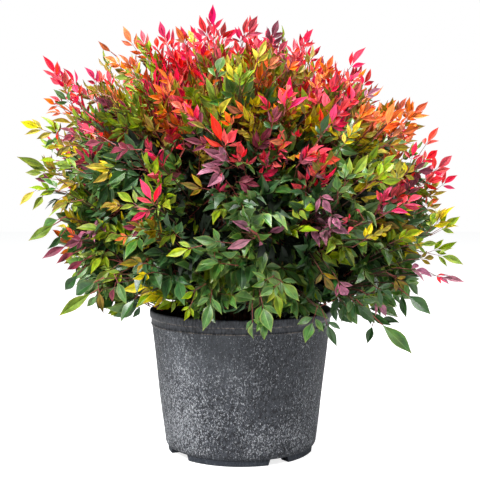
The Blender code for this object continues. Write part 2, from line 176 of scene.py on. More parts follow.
# Where the tints lie on the front, in pixels of the picture: x, y, radius, blend, weight
ZONES = (
    (205, 35, 24, "red", 1.0),
    (165, 35, 18, "red", 1.0),
    (130, 50, 20, "orange", 1.0),
    (106, 62, 16, "copper", 1.0),
    (185, 45, 10, "yellow", 0.6),
    (247, 30, 15, "red", 0.9),
    (252, 62, 18, "yellow", 1.0),
    (232, 76, 18, "yellow", 0.9),
    (205, 92, 18, "lime", 0.7),
    (285, 38, 15, "maroon", 0.9),
    (295, 75, 24, "copper", 1.0),
    (316, 45, 12, "crimson", 1.0),
    (345, 72, 22, "red", 1.1),
    (308, 118, 21, "red", 1.1),
    (286, 102, 14, "olive", 0.8),
    (300, 86, 12, "yellow", 0.8),
    (332, 128, 12, "orange", 0.8),
    (278, 120, 12, "lime", 0.6),
    (262, 84, 14, "lime", 0.8),
    (345, 142, 14, "yellow", 0.8),
    (374, 164, 16, "lime", 0.9),
    (420, 186, 12, "lime", 0.6),
    (386, 130, 12, "olive", 0.7),
    (345, 112, 15, "red", 1.0),
    (398, 118, 24, "orange", 1.2),
    (368, 145, 20, "yellow", 0.9),
    (428, 140, 20, "red", 1.0),
    (408, 185, 20, "red", 0.9),
    (400, 165, 14, "yellow", 0.7),
    (362, 216, 16, "red", 1.0),
    (425, 222, 26, "yellow", 1.0),
    (392, 240, 26, "lime", 0.9),
    (432, 268, 20, "deep", 0.8),
    (368, 178, 26, "green", 1.0),
    (62, 85, 19, "red", 1.2),
    (55, 108, 10, "orange", 0.7),
    (82, 100, 11, "red", 0.6),
    (118, 80, 13, "yellow", 1.0),
    (288, 70, 15, "yellow", 1.2),
    (312, 77, 11, "olive", 1.0),
    (330, 85, 10, "yellow", 1.0),
    (350, 150, 12, "yellow", 0.9),
    (104, 101, 11, "yellow", 1.0),
    (114, 116, 10, "yellow", 0.9),
    (128, 100, 14, "yellow", 0.8),
    (108, 120, 12, "lime", 0.8),
    (92, 112, 10, "olive", 0.7),
    (98, 80, 14, "crimson", 0.8),
    (100, 117, 13, "olive", 1.0),
    (140, 110, 16, "olive", 0.9),
    (152, 165, 14, "green", 1.0),
    (150, 180, 12, "deep", 0.9),
    (108, 142, 19, "maroon", 1.0),
    (120, 110, 20, "olive", 0.9),
    (112, 98, 14, "lime", 0.7),
    (140, 122, 15, "lime", 0.8),
    (88, 126, 14, "green", 0.8),
    (152, 138, 14, "green", 0.8),
    (132, 88, 12, "yellow", 0.6),
    (45, 132, 22, "yellow", 0.9),
    (42, 172, 24, "olive", 1.0),
    (78, 185, 28, "green", 0.8),
    (38, 205, 18, "lime", 1.0),
    (118, 200, 16, "copper", 0.9),
    (150, 196, 10, "red", 0.9),
    (85, 165, 18, "lime", 1.1),
    (130, 225, 14, "lime", 0.7),
    (104, 232, 14, "green", 0.8),
    (66, 248, 18, "maroon", 1.0),
    (45, 236, 12, "olive", 0.8),
    (130, 238, 11, "copper", 0.7),
    (106, 298, 12, "copper", 0.8),
    (80, 285, 28, "green", 1.0),
    (112, 276, 14, "lime", 0.7),
    (145, 268, 12, "yellow", 0.8),
    (188, 118, 18, "crimson", 0.9),
    (215, 150, 14, "deep", 0.8),
    (182, 175, 18, "deep", 0.9),
    (150, 45, 16, "red", 0.9),
    (183, 72, 15, "red", 1.1),
    (166, 96, 13, "maroon", 0.8),
    (225, 42, 13, "red", 0.9),
    (248, 100, 15, "red", 1.0),
    (212, 112, 14, "maroon", 0.7),
    (285, 88, 13, "yellow", 0.8),
    (292, 140, 13, "crimson", 0.9),
    (322, 146, 12, "red", 0.9),
    (300, 168, 14, "olive", 0.6),
    (276, 64, 12, "yellow", 0.6),
    (316, 74, 14, "orange", 0.7),
    (330, 96, 12, "coral", 0.7),
    (268, 142, 14, "maroon", 0.8),
    (100, 160, 16, "lime", 0.7),
    (80, 172, 16, "green", 0.9),
    (70, 210, 16, "green", 0.7),
    (110, 215, 16, "green", 0.9),
    (135, 172, 18, "lime", 0.8),
    (60, 208, 24, "lime", 1.4),
    (92, 222, 26, "lime", 1.3),
    (128, 208, 14, "lime", 0.7),
    (410, 250, 22, "lime", 0.8),
    (118, 252, 18, "lime", 0.6),
    (350, 178, 18, "lime", 0.9),
    (386, 205, 14, "lime", 0.7),
    (372, 258, 18, "lime", 0.7),
    (226, 135, 12, "coral", 0.7),
    (200, 162, 15, "deep", 1.0),
    (246, 190, 13, "deep", 0.8),
    (212, 172, 18, "maroon", 1.0),
    (264, 168, 15, "crimson", 0.8),
    (338, 236, 12, "mauve", 0.6),
    (342, 262, 12, "olive", 0.8),
    (296, 236, 10, "olive", 0.6),
    (250, 230, 11, "mauve", 0.5),
    (322, 195, 9, "crimson", 0.7),
    (332, 216, 12, "mauve", 0.8),
    (175, 150, 24, "deep", 1.2),
    (205, 240, 40, "green", 1.0),
    (290, 205, 34, "deep", 1.0),
    (300, 270, 44, "green", 1.0),
    (318, 100, 16, "yellow", 1.2),
    (300, 108, 13, "lime", 1.0),
    (330, 92, 10, "olive", 0.9),
    (336, 112, 12, "lime", 0.8),
    (296, 130, 12, "olive", 0.8),
    (268, 104, 12, "olive", 0.7),
    (100, 190, 14, "green", 0.7),
    (72, 164, 12, "lime", 0.7),
    (215, 292, 44, "green", 1.1),
    (204, 72, 18, "olive", 0.9),
    (160, 80, 20, "copper", 0.8),
    (150, 110, 22, "olive", 0.8),
    (240, 95, 24, "olive", 1.0),
    (262, 122, 14, "maroon", 0.6),
    (400, 300, 26, "deep", 1.0),
)

rng = np.random.default_rng(SEED)


def pick(options, weights):
    weights = np.array(weights, float)
    return options[int(rng.choice(len(options), p=weights / weights.sum()))]


def project(point):
    """Where a point shows in the picture, in pixels."""
    away = point.y - CAMERA_AT.y
    rise = point.z - CAMERA_AT.z
    c, s = math.cos(CAMERA_PITCH), math.sin(CAMERA_PITCH)
    ahead = away * c - rise * s
    return (
        PICTURE_PX / 2 + FOCAL_PX * (point.x - CAMERA_AT.x) / ahead,
        PICTURE_PX / 2 - FOCAL_PX * (away * s + rise * c) / ahead,
    )


# ---- meshes from arrays ---------------------------------------------------------------


def mesh_object(name, points, triangles, uv, look, smooth=True):
    """A joined mesh of triangles with one UV map, which carries the pattern."""
    mesh = bpy.data.meshes.new(name)
    count = len(triangles)
    mesh.vertices.add(len(points))
    mesh.vertices.foreach_set("co", np.asarray(points, np.float32).ravel())
    mesh.loops.add(count * 3)
    mesh.loops.foreach_set("vertex_index", np.asarray(triangles, np.int32).ravel())
    mesh.polygons.add(count)
    mesh.polygons.foreach_set("loop_start", np.arange(0, count * 3, 3, dtype=np.int32))
    mesh.polygons.foreach_set("use_smooth", np.full(count, smooth))
    if uv is not None:
        layer = mesh.uv_layers.new(name="OFBake")
        layer.data.foreach_set("uv", np.asarray(uv, np.float32)[triangles.ravel()].ravel())
    mesh.update(calc_edges=True)
    mesh.validate()
    obj = bpy.data.objects.new(name, mesh)
    bpy.context.scene.collection.objects.link(obj)
    mesh.materials.append(look)
    return obj


# ---- materials ------------------------------------------------------------------------


class Nodes:
    """Short ways to add and link shader nodes."""

    def __init__(self, name):
        self.material = bpy.data.materials.new(name)
        self.material.use_nodes = True
        self.tree = self.material.node_tree
        self.shader = self.tree.nodes["Principled BSDF"]

    def add(self, kind, **settings):
        node = self.tree.nodes.new(kind)
        for key, value in settings.items():
            setattr(node, key, value)
        return node

    def link(self, source, target):
        self.tree.links.new(source, target)

    def math(self, operation, a, b=None, c=None, clamp=False):
        node = self.add("ShaderNodeMath", operation=operation, use_clamp=clamp)
        for socket, value in zip(node.inputs, (a, b, c)):
            if value is None:
                continue
            if isinstance(value, (int, float)):
                socket.default_value = value
            else:
                self.link(value, socket)
        return node.outputs[0]

    def step(self, value, low, high, smooth=True):
        node = self.add("ShaderNodeMapRange")
        node.interpolation_type = "SMOOTHSTEP" if smooth else "LINEAR"
        self.link(value, node.inputs[0])
        node.inputs[1].default_value, node.inputs[2].default_value = low, high
        return node.outputs[0]

    def mix(self, share, a, b, blend="MIX"):
        node = self.add("ShaderNodeMix", data_type="RGBA", blend_type=blend)
        for socket, value in ((node.inputs[0], share), (node.inputs[6], a), (node.inputs[7], b)):
            if isinstance(value, tuple):
                socket.default_value = (*value[:3], 1.0)
            elif isinstance(value, (int, float)):
                socket.default_value = value
            else:
                self.link(value, socket)
        return node.outputs[2]

    def noise(self, vector, scale, detail=2.0, roughness=0.5, **more):
        node = self.add("ShaderNodeTexNoise", **more)
        self.link(vector, node.inputs["Vector"])
        node.inputs["Scale"].default_value = scale
        node.inputs["Detail"].default_value = detail
        node.inputs["Roughness"].default_value = roughness
        return node

    def bump(self, height, strength, distance):
        node = self.add("ShaderNodeBump")
        node.inputs["Strength"].default_value = strength
        node.inputs["Distance"].default_value = distance
        self.link(height, node.inputs["Height"])
        self.link(node.outputs[0], self.shader.inputs["Normal"])


CELLS = 8  # the leaf map holds 8 x 8 leaflets, each with its own mottling


def leaf_look(name, blade, margin, vein, roughness):
    """A leaflet's skin, read from the leaf map alone: its own shade, mottling, a paler
    margin and tip, side veins and the midrib."""
    n = Nodes(name)
    uv = n.add("ShaderNodeUVMap", uv_map="OFBake").outputs[0]
    split = n.add("ShaderNodeSeparateXYZ")
    n.link(uv, split.inputs[0])
    wide, long = (n.math("MULTIPLY", split.outputs[i], CELLS) for i in (0, 1))
    cell = n.add("ShaderNodeCombineXYZ")
    n.link(n.math("FLOOR", wide), cell.inputs[0])
    n.link(n.math("FLOOR", long), cell.inputs[1])
    chance = n.add("ShaderNodeTexWhiteNoise", noise_dimensions="3D")
    n.link(cell.outputs[0], chance.inputs["Vector"])
    across = n.math("DIVIDE", n.math("SUBTRACT", n.math("FRACT", wide), 0.5), 0.46)
    across = n.math("ABSOLUTE", across)
    along = n.math("DIVIDE", n.math("SUBTRACT", n.math("FRACT", long), 0.03), 0.94)
    mottle = n.noise(uv, 26.0, 3.0, 0.6).outputs[0]
    blotch = n.step(n.noise(uv, 9.0, 2.0).outputs[0], 0.46, 0.70)
    dark = tuple(c * 0.54 for c in blade)
    light = tuple(min(1.0, c * 1.27) for c in blade)
    colour = n.mix(n.step(mottle, 0.34, 0.66), dark, light)
    colour = n.mix(n.math("MULTIPLY", blotch, 0.26), colour, margin)
    edge = n.math("MULTIPLY", n.step(across, 0.74, 1.0), 0.54)
    tip = n.math("MULTIPLY", n.step(along, 0.78, 1.0), 0.85)
    colour = n.mix(n.math("MAXIMUM", edge, tip), colour, margin)
    # Side veins leave the midrib at a slant.
    slant = n.math("SUBTRACT", n.math("MULTIPLY", along, 10.0), n.math("MULTIPLY", across, 2.2))
    ridge = n.math("ABSOLUTE", n.math("SUBTRACT", n.math("FRACT", slant), 0.5))
    side = n.math("MULTIPLY", n.step(ridge, 0.13, 0.0), 0.24)
    midrib = n.math("MULTIPLY", n.step(across, 0.13, 0.03), 0.66)
    lines = n.math("MAXIMUM", side, midrib)
    colour = n.mix(lines, colour, vein)
    shade = n.add("ShaderNodeHueSaturation")
    split_chance = n.add("ShaderNodeSeparateColor")
    n.link(chance.outputs["Color"], split_chance.inputs[0])
    n.link(n.math("MULTIPLY_ADD", split_chance.outputs[0], 0.022, 0.489), shade.inputs["Hue"])
    n.link(n.math("MULTIPLY_ADD", split_chance.outputs[1], 0.18, 0.89), shade.inputs["Saturation"])
    n.link(n.math("MULTIPLY_ADD", split_chance.outputs[2], 0.62, 0.69), shade.inputs["Value"])
    n.link(colour, shade.inputs["Color"])
    n.link(shade.outputs[0], n.shader.inputs["Base Color"])
    n.shader.inputs["Roughness"].default_value = roughness
    n.shader.inputs["Specular IOR Level"].default_value = 0.5 if roughness < 0.40 else 0.24
    height = n.math("SUBTRACT", n.math("MULTIPLY", mottle, 0.35), lines)
    n.bump(height, 0.35, 0.0006)
    return n.material


def stalk_look(name, young, old):
    n = Nodes(name)
    uv = n.add("ShaderNodeUVMap", uv_map="OFBake").outputs[0]
    grain = n.noise(uv, 30.0, 3.0).outputs[0]
    colour = n.mix(n.step(grain, 0.35, 0.65), young, old)
    n.link(colour, n.shader.inputs["Base Color"])
    n.shader.inputs["Roughness"].default_value = 0.5
    n.bump(grain, 0.3, 0.0005)
    return n.material


def bark_look(name):
    """Ridged, peeling bark with pale leaf scars, along each limb."""
    n = Nodes(name)
    where = n.add("ShaderNodeTexCoord").outputs["Object"]
    stretched = n.add("ShaderNodeMapping")
    stretched.inputs["Scale"].default_value = (260.0, 260.0, 34.0)
    n.link(where, stretched.inputs["Vector"])
    ridges = n.noise(stretched.outputs[0], 1.0, 4.0, 0.62).outputs[0]
    patches = n.noise(where, 55.0, 3.0).outputs[0]
    colour = n.mix(n.step(ridges, 0.34, 0.68), linear(58, 32, 22), linear(128, 84, 58))
    colour = n.mix(n.step(patches, 0.52, 0.72), colour, linear(152, 122, 96))
    n.link(colour, n.shader.inputs["Base Color"])
    n.shader.inputs["Roughness"].default_value = 0.82
    n.bump(ridges, 0.7, 0.0012)
    return n.material


def mix_look(name):
    n = Nodes(name)
    where = n.add("ShaderNodeTexCoord").outputs["Object"]
    lumps = n.noise(where, 130.0, 5.0, 0.65).outputs[0]
    fibres = n.noise(where, 420.0, 3.0).outputs[0]
    colour = n.mix(n.step(lumps, 0.36, 0.66), linear(24, 15, 10), linear(74, 48, 32))
    colour = n.mix(n.step(fibres, 0.60, 0.74), colour, linear(120, 92, 66))
    n.link(colour, n.shader.inputs["Base Color"])
    n.shader.inputs["Roughness"].default_value = 0.95
    n.bump(lumps, 0.8, 0.003)
    return n.material


def pot_look(name):
    """Charcoal plastic with a mineral bloom: dark skin under fine pale flecks, which crowd
    together low down and to one side and leave a few dark patches. A paler haze high on the left of the wall is painted
    light."""
    n = Nodes(name)
    where = n.add("ShaderNodeTexCoord").outputs["Object"]
    xyz = n.add("ShaderNodeSeparateXYZ")
    n.link(where, xyz.inputs[0])
    height = xyz.outputs[2]

    def scaled(x, y, z):
        node = n.add("ShaderNodeMapping")
        node.inputs["Scale"].default_value = (x, y, z)
        n.link(where, node.inputs["Vector"])
        return node.outputs[0]

    def patch(x, y, z, radius):
        node = n.add("ShaderNodeVectorMath", operation="DISTANCE")
        n.link(where, node.inputs[0])
        node.inputs[1].default_value = (x, y, z)
        return n.step(node.outputs["Value"], radius, radius * 0.35)

    cloud = n.noise(scaled(13, 13, 10), 1.0, 5.0, 0.62).outputs[0]
    streak = n.noise(scaled(120, 120, 26), 1.0, 4.0, 0.65).outputs[0]
    fleck = n.noise(scaled(370, 370, 250), 1.0, 5.0, 0.74).outputs[0]
    grain = n.noise(where, 1500.0, 2.0, 0.6).outputs[0]
    tone = n.noise(scaled(240, 240, 120), 1.0, 3.0, 0.6).outputs[0]
    low = n.step(height, 0.20, 0.05, smooth=False)
    left = n.step(xyz.outputs[0], 0.12, -0.15, smooth=False)
    wall = n.step(height, 0.2455, 0.2395)
    density = n.math("MULTIPLY_ADD", cloud, 0.75, n.math("MULTIPLY", streak, 0.70))
    density = n.math("MULTIPLY_ADD", low, 0.20, density)
    density = n.math("MULTIPLY_ADD", left, 0.17, density)
    bare = n.math("MAXIMUM", patch(0.055, -0.155, 0.108, 0.055), patch(-0.012, -0.15, 0.040, 0.040))
    bare = n.math("MAXIMUM", bare, n.step(height, 0.026, 0.012))
    density = n.math("MULTIPLY_ADD", bare, -0.20, density)
    limit = n.add("ShaderNodeMapRange")
    limit.inputs[1].default_value, limit.inputs[2].default_value = 0.72, 1.12
    limit.inputs[3].default_value, limit.inputs[4].default_value = 0.588, 0.490
    n.link(density, limit.inputs[0])
    over = n.math("SUBTRACT", fleck, limit.outputs[0])
    crack = n.add("ShaderNodeTexVoronoi", feature="DISTANCE_TO_EDGE")
    crack.inputs["Scale"].default_value = 1.0
    n.link(scaled(210, 210, 120), crack.inputs["Vector"])
    whole = n.step(crack.outputs["Distance"], 0.02, 0.10)
    foot = n.step(height, 0.008, 0.018)
    spot = n.math("MULTIPLY", n.step(over, 0.0, 0.032), n.math("MULTIPLY_ADD", wall, 0.90, 0.05))
    spot = n.math("MULTIPLY", spot, n.math("MULTIPLY_ADD", whole, 0.75, 0.25))
    spot = n.math("MULTIPLY", spot, n.math("MULTIPLY_ADD", foot, 0.85, 0.15))
    # A paler haze of bloom where the flecks crowd.
    bloom_and_painted_light = n.math("MULTIPLY", n.step(density, 0.84, 1.25), 0.14)
    # Painted light: a paler, bluish haze high on the left of the wall, the side the key light falls on.
    high = n.math("MULTIPLY", n.step(height, 0.11, 0.20), n.step(xyz.outputs[0], 0.045, -0.030))
    high = n.math("MULTIPLY", high, n.math("MULTIPLY_ADD", streak, 0.9, -0.12))
    bloom_and_painted_light = n.math("ADD", bloom_and_painted_light, high)
    colour = n.mix(n.step(tone, 0.34, 0.66), linear(30, 31, 36), linear(70, 73, 80))
    colour = n.mix(n.math("MULTIPLY", bloom_and_painted_light, wall), colour, linear(104, 108, 115))
    # Darker and bluer towards the foot.
    darker_toward_foot = n.math("SUBTRACT", 1.0, foot)
    colour = n.mix(n.math("MULTIPLY", darker_toward_foot, 0.7), colour, linear(40, 46, 56))
    pale = n.mix(n.step(grain, 0.40, 0.66), linear(108, 113, 122), linear(242, 244, 247))
    colour = n.mix(spot, colour, pale)
    # Dust lies along the lower edges of the lip and of the line under it.
    dust = n.math("MAXIMUM", n.step(n.math("ABSOLUTE", n.math("SUBTRACT", height, TOP - 0.0146)), 0.0016, 0.0004), n.step(n.math("ABSOLUTE", n.math("SUBTRACT", height, TOP - 0.0266)), 0.0014, 0.0003))
    dust = n.math("MULTIPLY", dust, n.step(tone, 0.44, 0.66))
    colour = n.mix(n.math("MULTIPLY", dust, 0.8), colour, linear(146, 132, 118))
    n.link(colour, n.shader.inputs["Base Color"])
    n.link(n.math("MULTIPLY_ADD", spot, 0.20, n.math("MULTIPLY_ADD", wall, 0.14, 0.46)), n.shader.inputs["Roughness"])
    n.shader.inputs["Specular IOR Level"].default_value = 0.35
    relief = n.math("MULTIPLY_ADD", streak, 0.5, n.math("MULTIPLY", spot, 0.5))
    n.bump(n.math("MULTIPLY", relief, n.math("MULTIPLY_ADD", wall, 0.9, 0.1)), 0.6, 0.0014)
    return n.material


# ---- leaflets -------------------------------------------------------------------------

# Station along a leaflet and its half width there, from stalk to tip: a narrow foot, widest
# short of the middle, then drawn out into a long point. FINE is for the outer sprays, HERO for the sprays
# that stand out on the front, the plain one for leaflets that stand behind others.
FINE = (
    (0.00, 0.04),
    (0.12, 0.32),
    (0.30, 0.88),
    (0.48, 0.97),
    (0.68, 0.64),
    (0.86, 0.26),
)
HERO = (
    (0.00, 0.04),
    (0.06, 0.15),
    (0.15, 0.42),
    (0.27, 0.77),
    (0.39, 0.96),
    (0.52, 0.96),
    (0.65, 0.76),
    (0.78, 0.46),
    (0.90, 0.17),
)
PLAIN = (
    (0.00, 0.08),
    (0.34, 0.96),
    (0.68, 0.70),
)
SHAPES = (PLAIN, FINE, HERO)  # by fineness
MOST_FACES = 190000


class Leaflets:
    """Collects leaflets, then builds them as joined meshes for each tint."""

    def __init__(self):
        self.rows = {}

    def add(self, tint, fine, at, way, face, length, width, curl, fold, twist):
        row = (*at, *way, *face, length, width, curl, fold, twist)
        self.rows.setdefault((tint, fine), []).append(row)

    def count(self):
        return sum(len(r) for r in self.rows.values())

    def shaped(self, tint, fine):
        """Points, triangles and map places of every leaflet of one tint and fineness."""
        stations = SHAPES[fine]
        rows = np.array(self.rows[tint, fine], float)
        count = len(rows)
        at, way, face = rows[:, 0:3], rows[:, 3:6], rows[:, 6:9]
        length, width, curl, fold, twist = (rows[:, i, None] for i in range(9, 14))
        way = way / np.linalg.norm(way, axis=1, keepdims=True)
        face = face - way * (face * way).sum(1, keepdims=True)
        face = face / np.maximum(np.linalg.norm(face, axis=1, keepdims=True), 1e-9)
        side = np.cross(way, face)
        local = np.random.default_rng(SEED + len(tint) * 7 + count)
        wave = local.uniform(0, math.tau, (count, 1))
        swerve = local.normal(0, 0.05, (count, 1))
        cells = local.integers(0, CELLS, (count, 2))
        points, uvs = [], []

        def middle(t):
            bend = curl * length * t * t
            return at + way * (length * t - 0.35 * bend * t) - face * bend + side * (swerve * length * t * t)

        # Each half of the blade has its own points at the midrib, so that it folds crisply.
        for t, half in stations:
            here = middle(t)
            turn = twist * t
            out = side * np.cos(turn) + face * np.sin(turn)
            up = face * np.cos(turn) - side * np.sin(turn)
            reach = half * width / 2
            ripple = 0.12 * np.sin(wave + 9 * t) * reach
            for sign in (-1, 0, 0, 1):
                lift = up * (abs(sign) * (fold * reach) + sign * ripple * 0.6)
                points.append(here + out * (sign * reach) + lift)
                uvs.append((0.5 + 0.46 * sign, 0.03 + 0.94 * t))
        for _ in range(2):
            points.append(middle(1.0))
            uvs.append((0.5, 0.97))
        per = len(points)
        stacked = np.stack(points, 1).reshape(-1, 3)
        uv = (np.array(uvs)[None, :, :] + cells[:, None, :]) / CELLS
        faces = []
        for k in range(len(stations) - 1):
            a, b = 4 * k, 4 * k + 4
            faces += [(a, a + 1, b + 1), (a, b + 1, b), (a + 2, a + 3, b + 2), (a + 3, b + 3, b + 2)]
        a = 4 * (len(stations) - 1)
        faces += [(a, a + 1, per - 2), (a + 2, a + 3, per - 1)]
        faces = np.array(faces)
        all_faces = (faces[None] + (np.arange(count) * per)[:, None, None]).reshape(-1, 3)
        return stacked, all_faces, uv.reshape(-1, 2)

    def build(self, tint, look):
        made = [fine for fine in (2, 1, 0) if (tint, fine) in self.rows]
        parts = [self.shaped(tint, fine) for fine in made]
        faces, first = [], 0
        for points, triangles, _ in parts:
            faces.append(triangles + first)
            first += len(points)
        points = np.concatenate([p[0] for p in parts])
        uv = np.concatenate([p[2] for p in parts])
        faces = np.concatenate(faces)
        pieces = []
        share = math.ceil(len(faces) / MOST_FACES)
        # A leaflet's triangles stay together.
        each = [4 * len(SHAPES[fine]) - 2 for fine in made]
        owner = np.concatenate([np.arange(len(p[1])) // n for p, n in zip(parts, each)])
        for k in range(share):
            mine = faces[owner % share == k]
            used, index = np.unique(mine, return_inverse=True)
            name = f"leaves_{tint}" if share == 1 else f"leaves_{tint}_{k + 1}"
            pieces.append(mesh_object(name, points[used], index.reshape(-1, 3), uv[used], look))
        return pieces


class Tubes:
    """Collects thin tapering stalks, then builds them as one mesh."""

    def __init__(self, sides):
        self.sides = sides
        self.groups = {}

    def add(self, points, radii):
        self.groups.setdefault(len(points), []).append(
            [(*p, r) for p, r in zip(points, radii)]
        )

    def build(self, name, look):
        all_points, all_faces, all_uv, first = [], [], [], 0
        angles = np.arange(self.sides) * math.tau / self.sides
        for rings, rows in sorted(self.groups.items()):
            rows = np.array(rows, float)
            centre, radius = rows[:, :, :3], rows[:, :, 3:4]
            ahead = np.gradient(centre, axis=1)
            ahead /= np.maximum(np.linalg.norm(ahead, axis=2, keepdims=True), 1e-9)
            helper = np.array([0.31, 0.17, 0.93])
            across = np.cross(ahead, helper)
            across /= np.maximum(np.linalg.norm(across, axis=2, keepdims=True), 1e-9)
            beside = np.cross(ahead, across)
            ring = (
                centre[:, :, None, :]
                + across[:, :, None, :] * (np.cos(angles)[None, None, :, None] * radius[:, :, None])
                + beside[:, :, None, :] * (np.sin(angles)[None, None, :, None] * radius[:, :, None])
            )
            count = len(rows)
            all_points.append(ring.reshape(-1, 3))
            along = np.linspace(0, 1, rings)
            uv = np.zeros((count, rings, self.sides, 2))
            start = np.random.default_rng(rings).uniform(0, 1, (count, 1, 1))
            uv[..., 0] = (angles / math.tau)[None, None, :]
            uv[..., 1] = 0.05 + 0.9 * ((along[None, :, None] * 0.2 + start) % 1.0)
            all_uv.append(uv.reshape(-1, 2))
            faces = []
            for k in range(rings - 1):
                for i in range(self.sides):
                    j = (i + 1) % self.sides
                    a, b = k * self.sides, (k + 1) * self.sides
                    faces += [(a + i, a + j, b + j), (a + i, b + j, b + i)]
            faces = np.array(faces)
            per = rings * self.sides
            all_faces.append(
                (faces[None] + (first + np.arange(count) * per)[:, None, None]).reshape(-1, 3)
            )
            first += count * per
        return mesh_object(
            name,
            np.concatenate(all_points),
            np.concatenate(all_faces),
            np.concatenate(all_uv),
            look,
        )


leaflets = Leaflets()
stalks = Tubes(3)
twigs = Tubes(4)

# ---- sprays ---------------------------------------------------------------------------

UP = Vector((0, 0, 1))


def jitter(size):
    return Vector(rng.normal(0, size, 3))


WARM = ("red", "crimson", "orange", "coral", "copper", "maroon", "mauve", "yellow", "olive", "lime")


def turned(way, side, angle, lift, face):
    return (way * math.cos(angle) + side * math.sin(angle) + face * lift).normalized()


def put_leaflet(tint, fine, at, way, face, length, slim, droop):
    """One leaflet; droop bends its blade down towards its tip."""
    stretch = rng.uniform(0.84, 1.14)
    width = length * TINTS[tint][4] * slim * rng.uniform(0.85, 1.15)
    face = (face + jitter(0.20 if tint in WARM else 0.15)).normalized()
    leaflets.add(
        tint,
        fine,
        at,
        way,
        face,
        length * stretch,
        width,
        droop * rng.uniform(0.3, 1.7),
        rng.uniform(0.25, 0.75),
        rng.normal(0, 0.30),
    )


def trio(at, way, side, face, tint, fine, length, slim, droop):
    """A terminal leaflet between two slimmer ones."""
    put_leaflet(tint, fine, at, (way + jitter(0.05)).normalized(), face, length, slim, droop)
    back = at - way * (length * rng.uniform(0.14, 0.26))
    spread = (30, 50) if tint in WARM else (34, 58)
    for sign in (-1, 1):
        angle = math.radians(rng.uniform(*spread))
        lean = turned(way, side * sign, angle, rng.uniform(-0.12, 0.16), face)
        foot = back + lean * (length * 0.06)
        put_leaflet(tint, fine, foot, lean, face, length * rng.uniform(0.62, 0.82), slim * 0.86, droop)


def spray(base, axis, face, length, kind, leaf, tints, fine=1, sag=0.12, slim=1.0, droop=0.16):
    """One compound leaf: a stalk with opposite side stalks, each ending in a trio.

    tints are those of the outermost leaflets, of the next and of the innermost."""
    side = axis.cross(face).normalized()
    face = side.cross(axis).normalized()
    down = Vector((0, 0, -1)) * (sag * length)

    def at(s):
        return base + axis * (length * s) + down * (s * s)

    def ways(s):
        ahead = (axis * length + down * (2 * s)).normalized()
        beside = ahead.cross(face).normalized()
        return ahead, beside, beside.cross(ahead).normalized()

    thick = 0.0008 + 0.0030 * length
    taper = 0.62
    if kind == "single" and length > 0.015:
        thick, taper = 0.0014, 0.30
    steps = [0.0, 0.35, 0.7, 1.0]
    stalks.add([at(s) for s in steps], [thick * (1.0 - taper * s) for s in steps])
    ahead, beside, over = ways(1.0)
    if kind == "single":
        put_leaflet(tints[0], fine, at(1.0), ahead, over, leaf, slim, droop)
        return
    trio(at(1.0), ahead, beside, over, tints[0], fine, leaf, slim, droop)
    if kind == "plume":
        # A young shoot: small leaves stand all round its stem and lie forward along it.
        count = max(3, min(9, round(length / (0.46 * leaf))))
        turn = rng.uniform(0, math.tau)
        for k in range(count):
            s = 0.16 + 0.80 * (k + 0.5) / count
            here = at(s)
            ahead, beside, over = ways(s)
            turn += rng.uniform(2.1, 2.8)
            radial = (beside * math.cos(turn) + over * (0.75 * math.sin(turn))).normalized()
            angle = math.radians(rng.uniform(26, 48)) * (1.2 - 0.4 * s)
            lean = (ahead * math.cos(angle) + radial * math.sin(angle)).normalized()
            tint = tints[0] if s > 0.50 else tints[1] if s > 0.30 else tints[2]
            size = leaf * rng.uniform(0.74, 1.0)
            plane = (over + radial * 0.5 - lean * (over + radial * 0.5).dot(lean)).normalized()
            if s > 0.72 or rng.random() < 0.35:
                put_leaflet(tint, fine, here, lean, plane, size, slim, droop)
                continue
            end = here + lean * (0.40 * leaf)
            stalks.add([here, end], [thick * 0.45, thick * 0.3])
            trio(end, lean, lean.cross(plane), plane, tint, fine, size, slim, droop)
        return
    if kind == "young":
        count = max(2, min(7, round(length / (0.52 * leaf))))
        places = [0.20 + 0.70 * (k + 0.5) / count for k in range(count)]
    elif kind == "big":
        places = [0.30, 0.55, 0.79]
    elif kind == "mid":
        places = [0.42, 0.74]
    else:
        places = []
    for k, s in enumerate(places):
        here = at(s + rng.uniform(-0.02, 0.02))
        ahead, beside, over = ways(s)
        inner = len(places) - 1 - k
        tint = tints[0] if inner == 0 else tints[1] if inner == 1 else tints[2]
        for sign in (-1, 1):
            if rng.random() < 0.05:
                continue
            angle = math.radians(rng.uniform(28, 48) if tint in WARM else rng.uniform(34, 60))
            lean = turned(ahead, beside * sign, angle, rng.uniform(-0.10, 0.25), over)
            if kind == "young" or (inner == 0 and kind == "big"):
                size = leaf * (0.88 if kind == "young" and inner else 0.86)
                put_leaflet(tint, fine, here, lean, over, size * rng.uniform(0.8, 1.05), slim * 0.92, droop)
                continue
            reach = length * (0.27 if kind == "big" else 0.24) * (1.08 - 0.22 * k)
            end = here + lean * reach + Vector((0, 0, -0.10 * reach))
            stalks.add([here, end], [thick * 0.5, thick * 0.3])
            out = (end - here).normalized()
            across = out.cross(over).normalized()
            trio(end, out, across, across.cross(out), tint, fine, leaf * 0.94, slim, droop)


# ---- where the foliage is -------------------------------------------------------------

FOLIAGE = sorted(n for n in NODES if n.startswith("foliage_"))


def node_arrays(name):
    mesh = NODES[name].data
    mesh.calc_loop_triangles()
    points = np.empty(len(mesh.vertices) * 3, np.float32)
    mesh.vertices.foreach_get("co", points)
    faces = np.empty(len(mesh.loop_triangles) * 3, np.int32)
    mesh.loop_triangles.foreach_get("vertices", faces)
    return points.reshape(-1, 3).astype(float), faces.reshape(-1, 3)


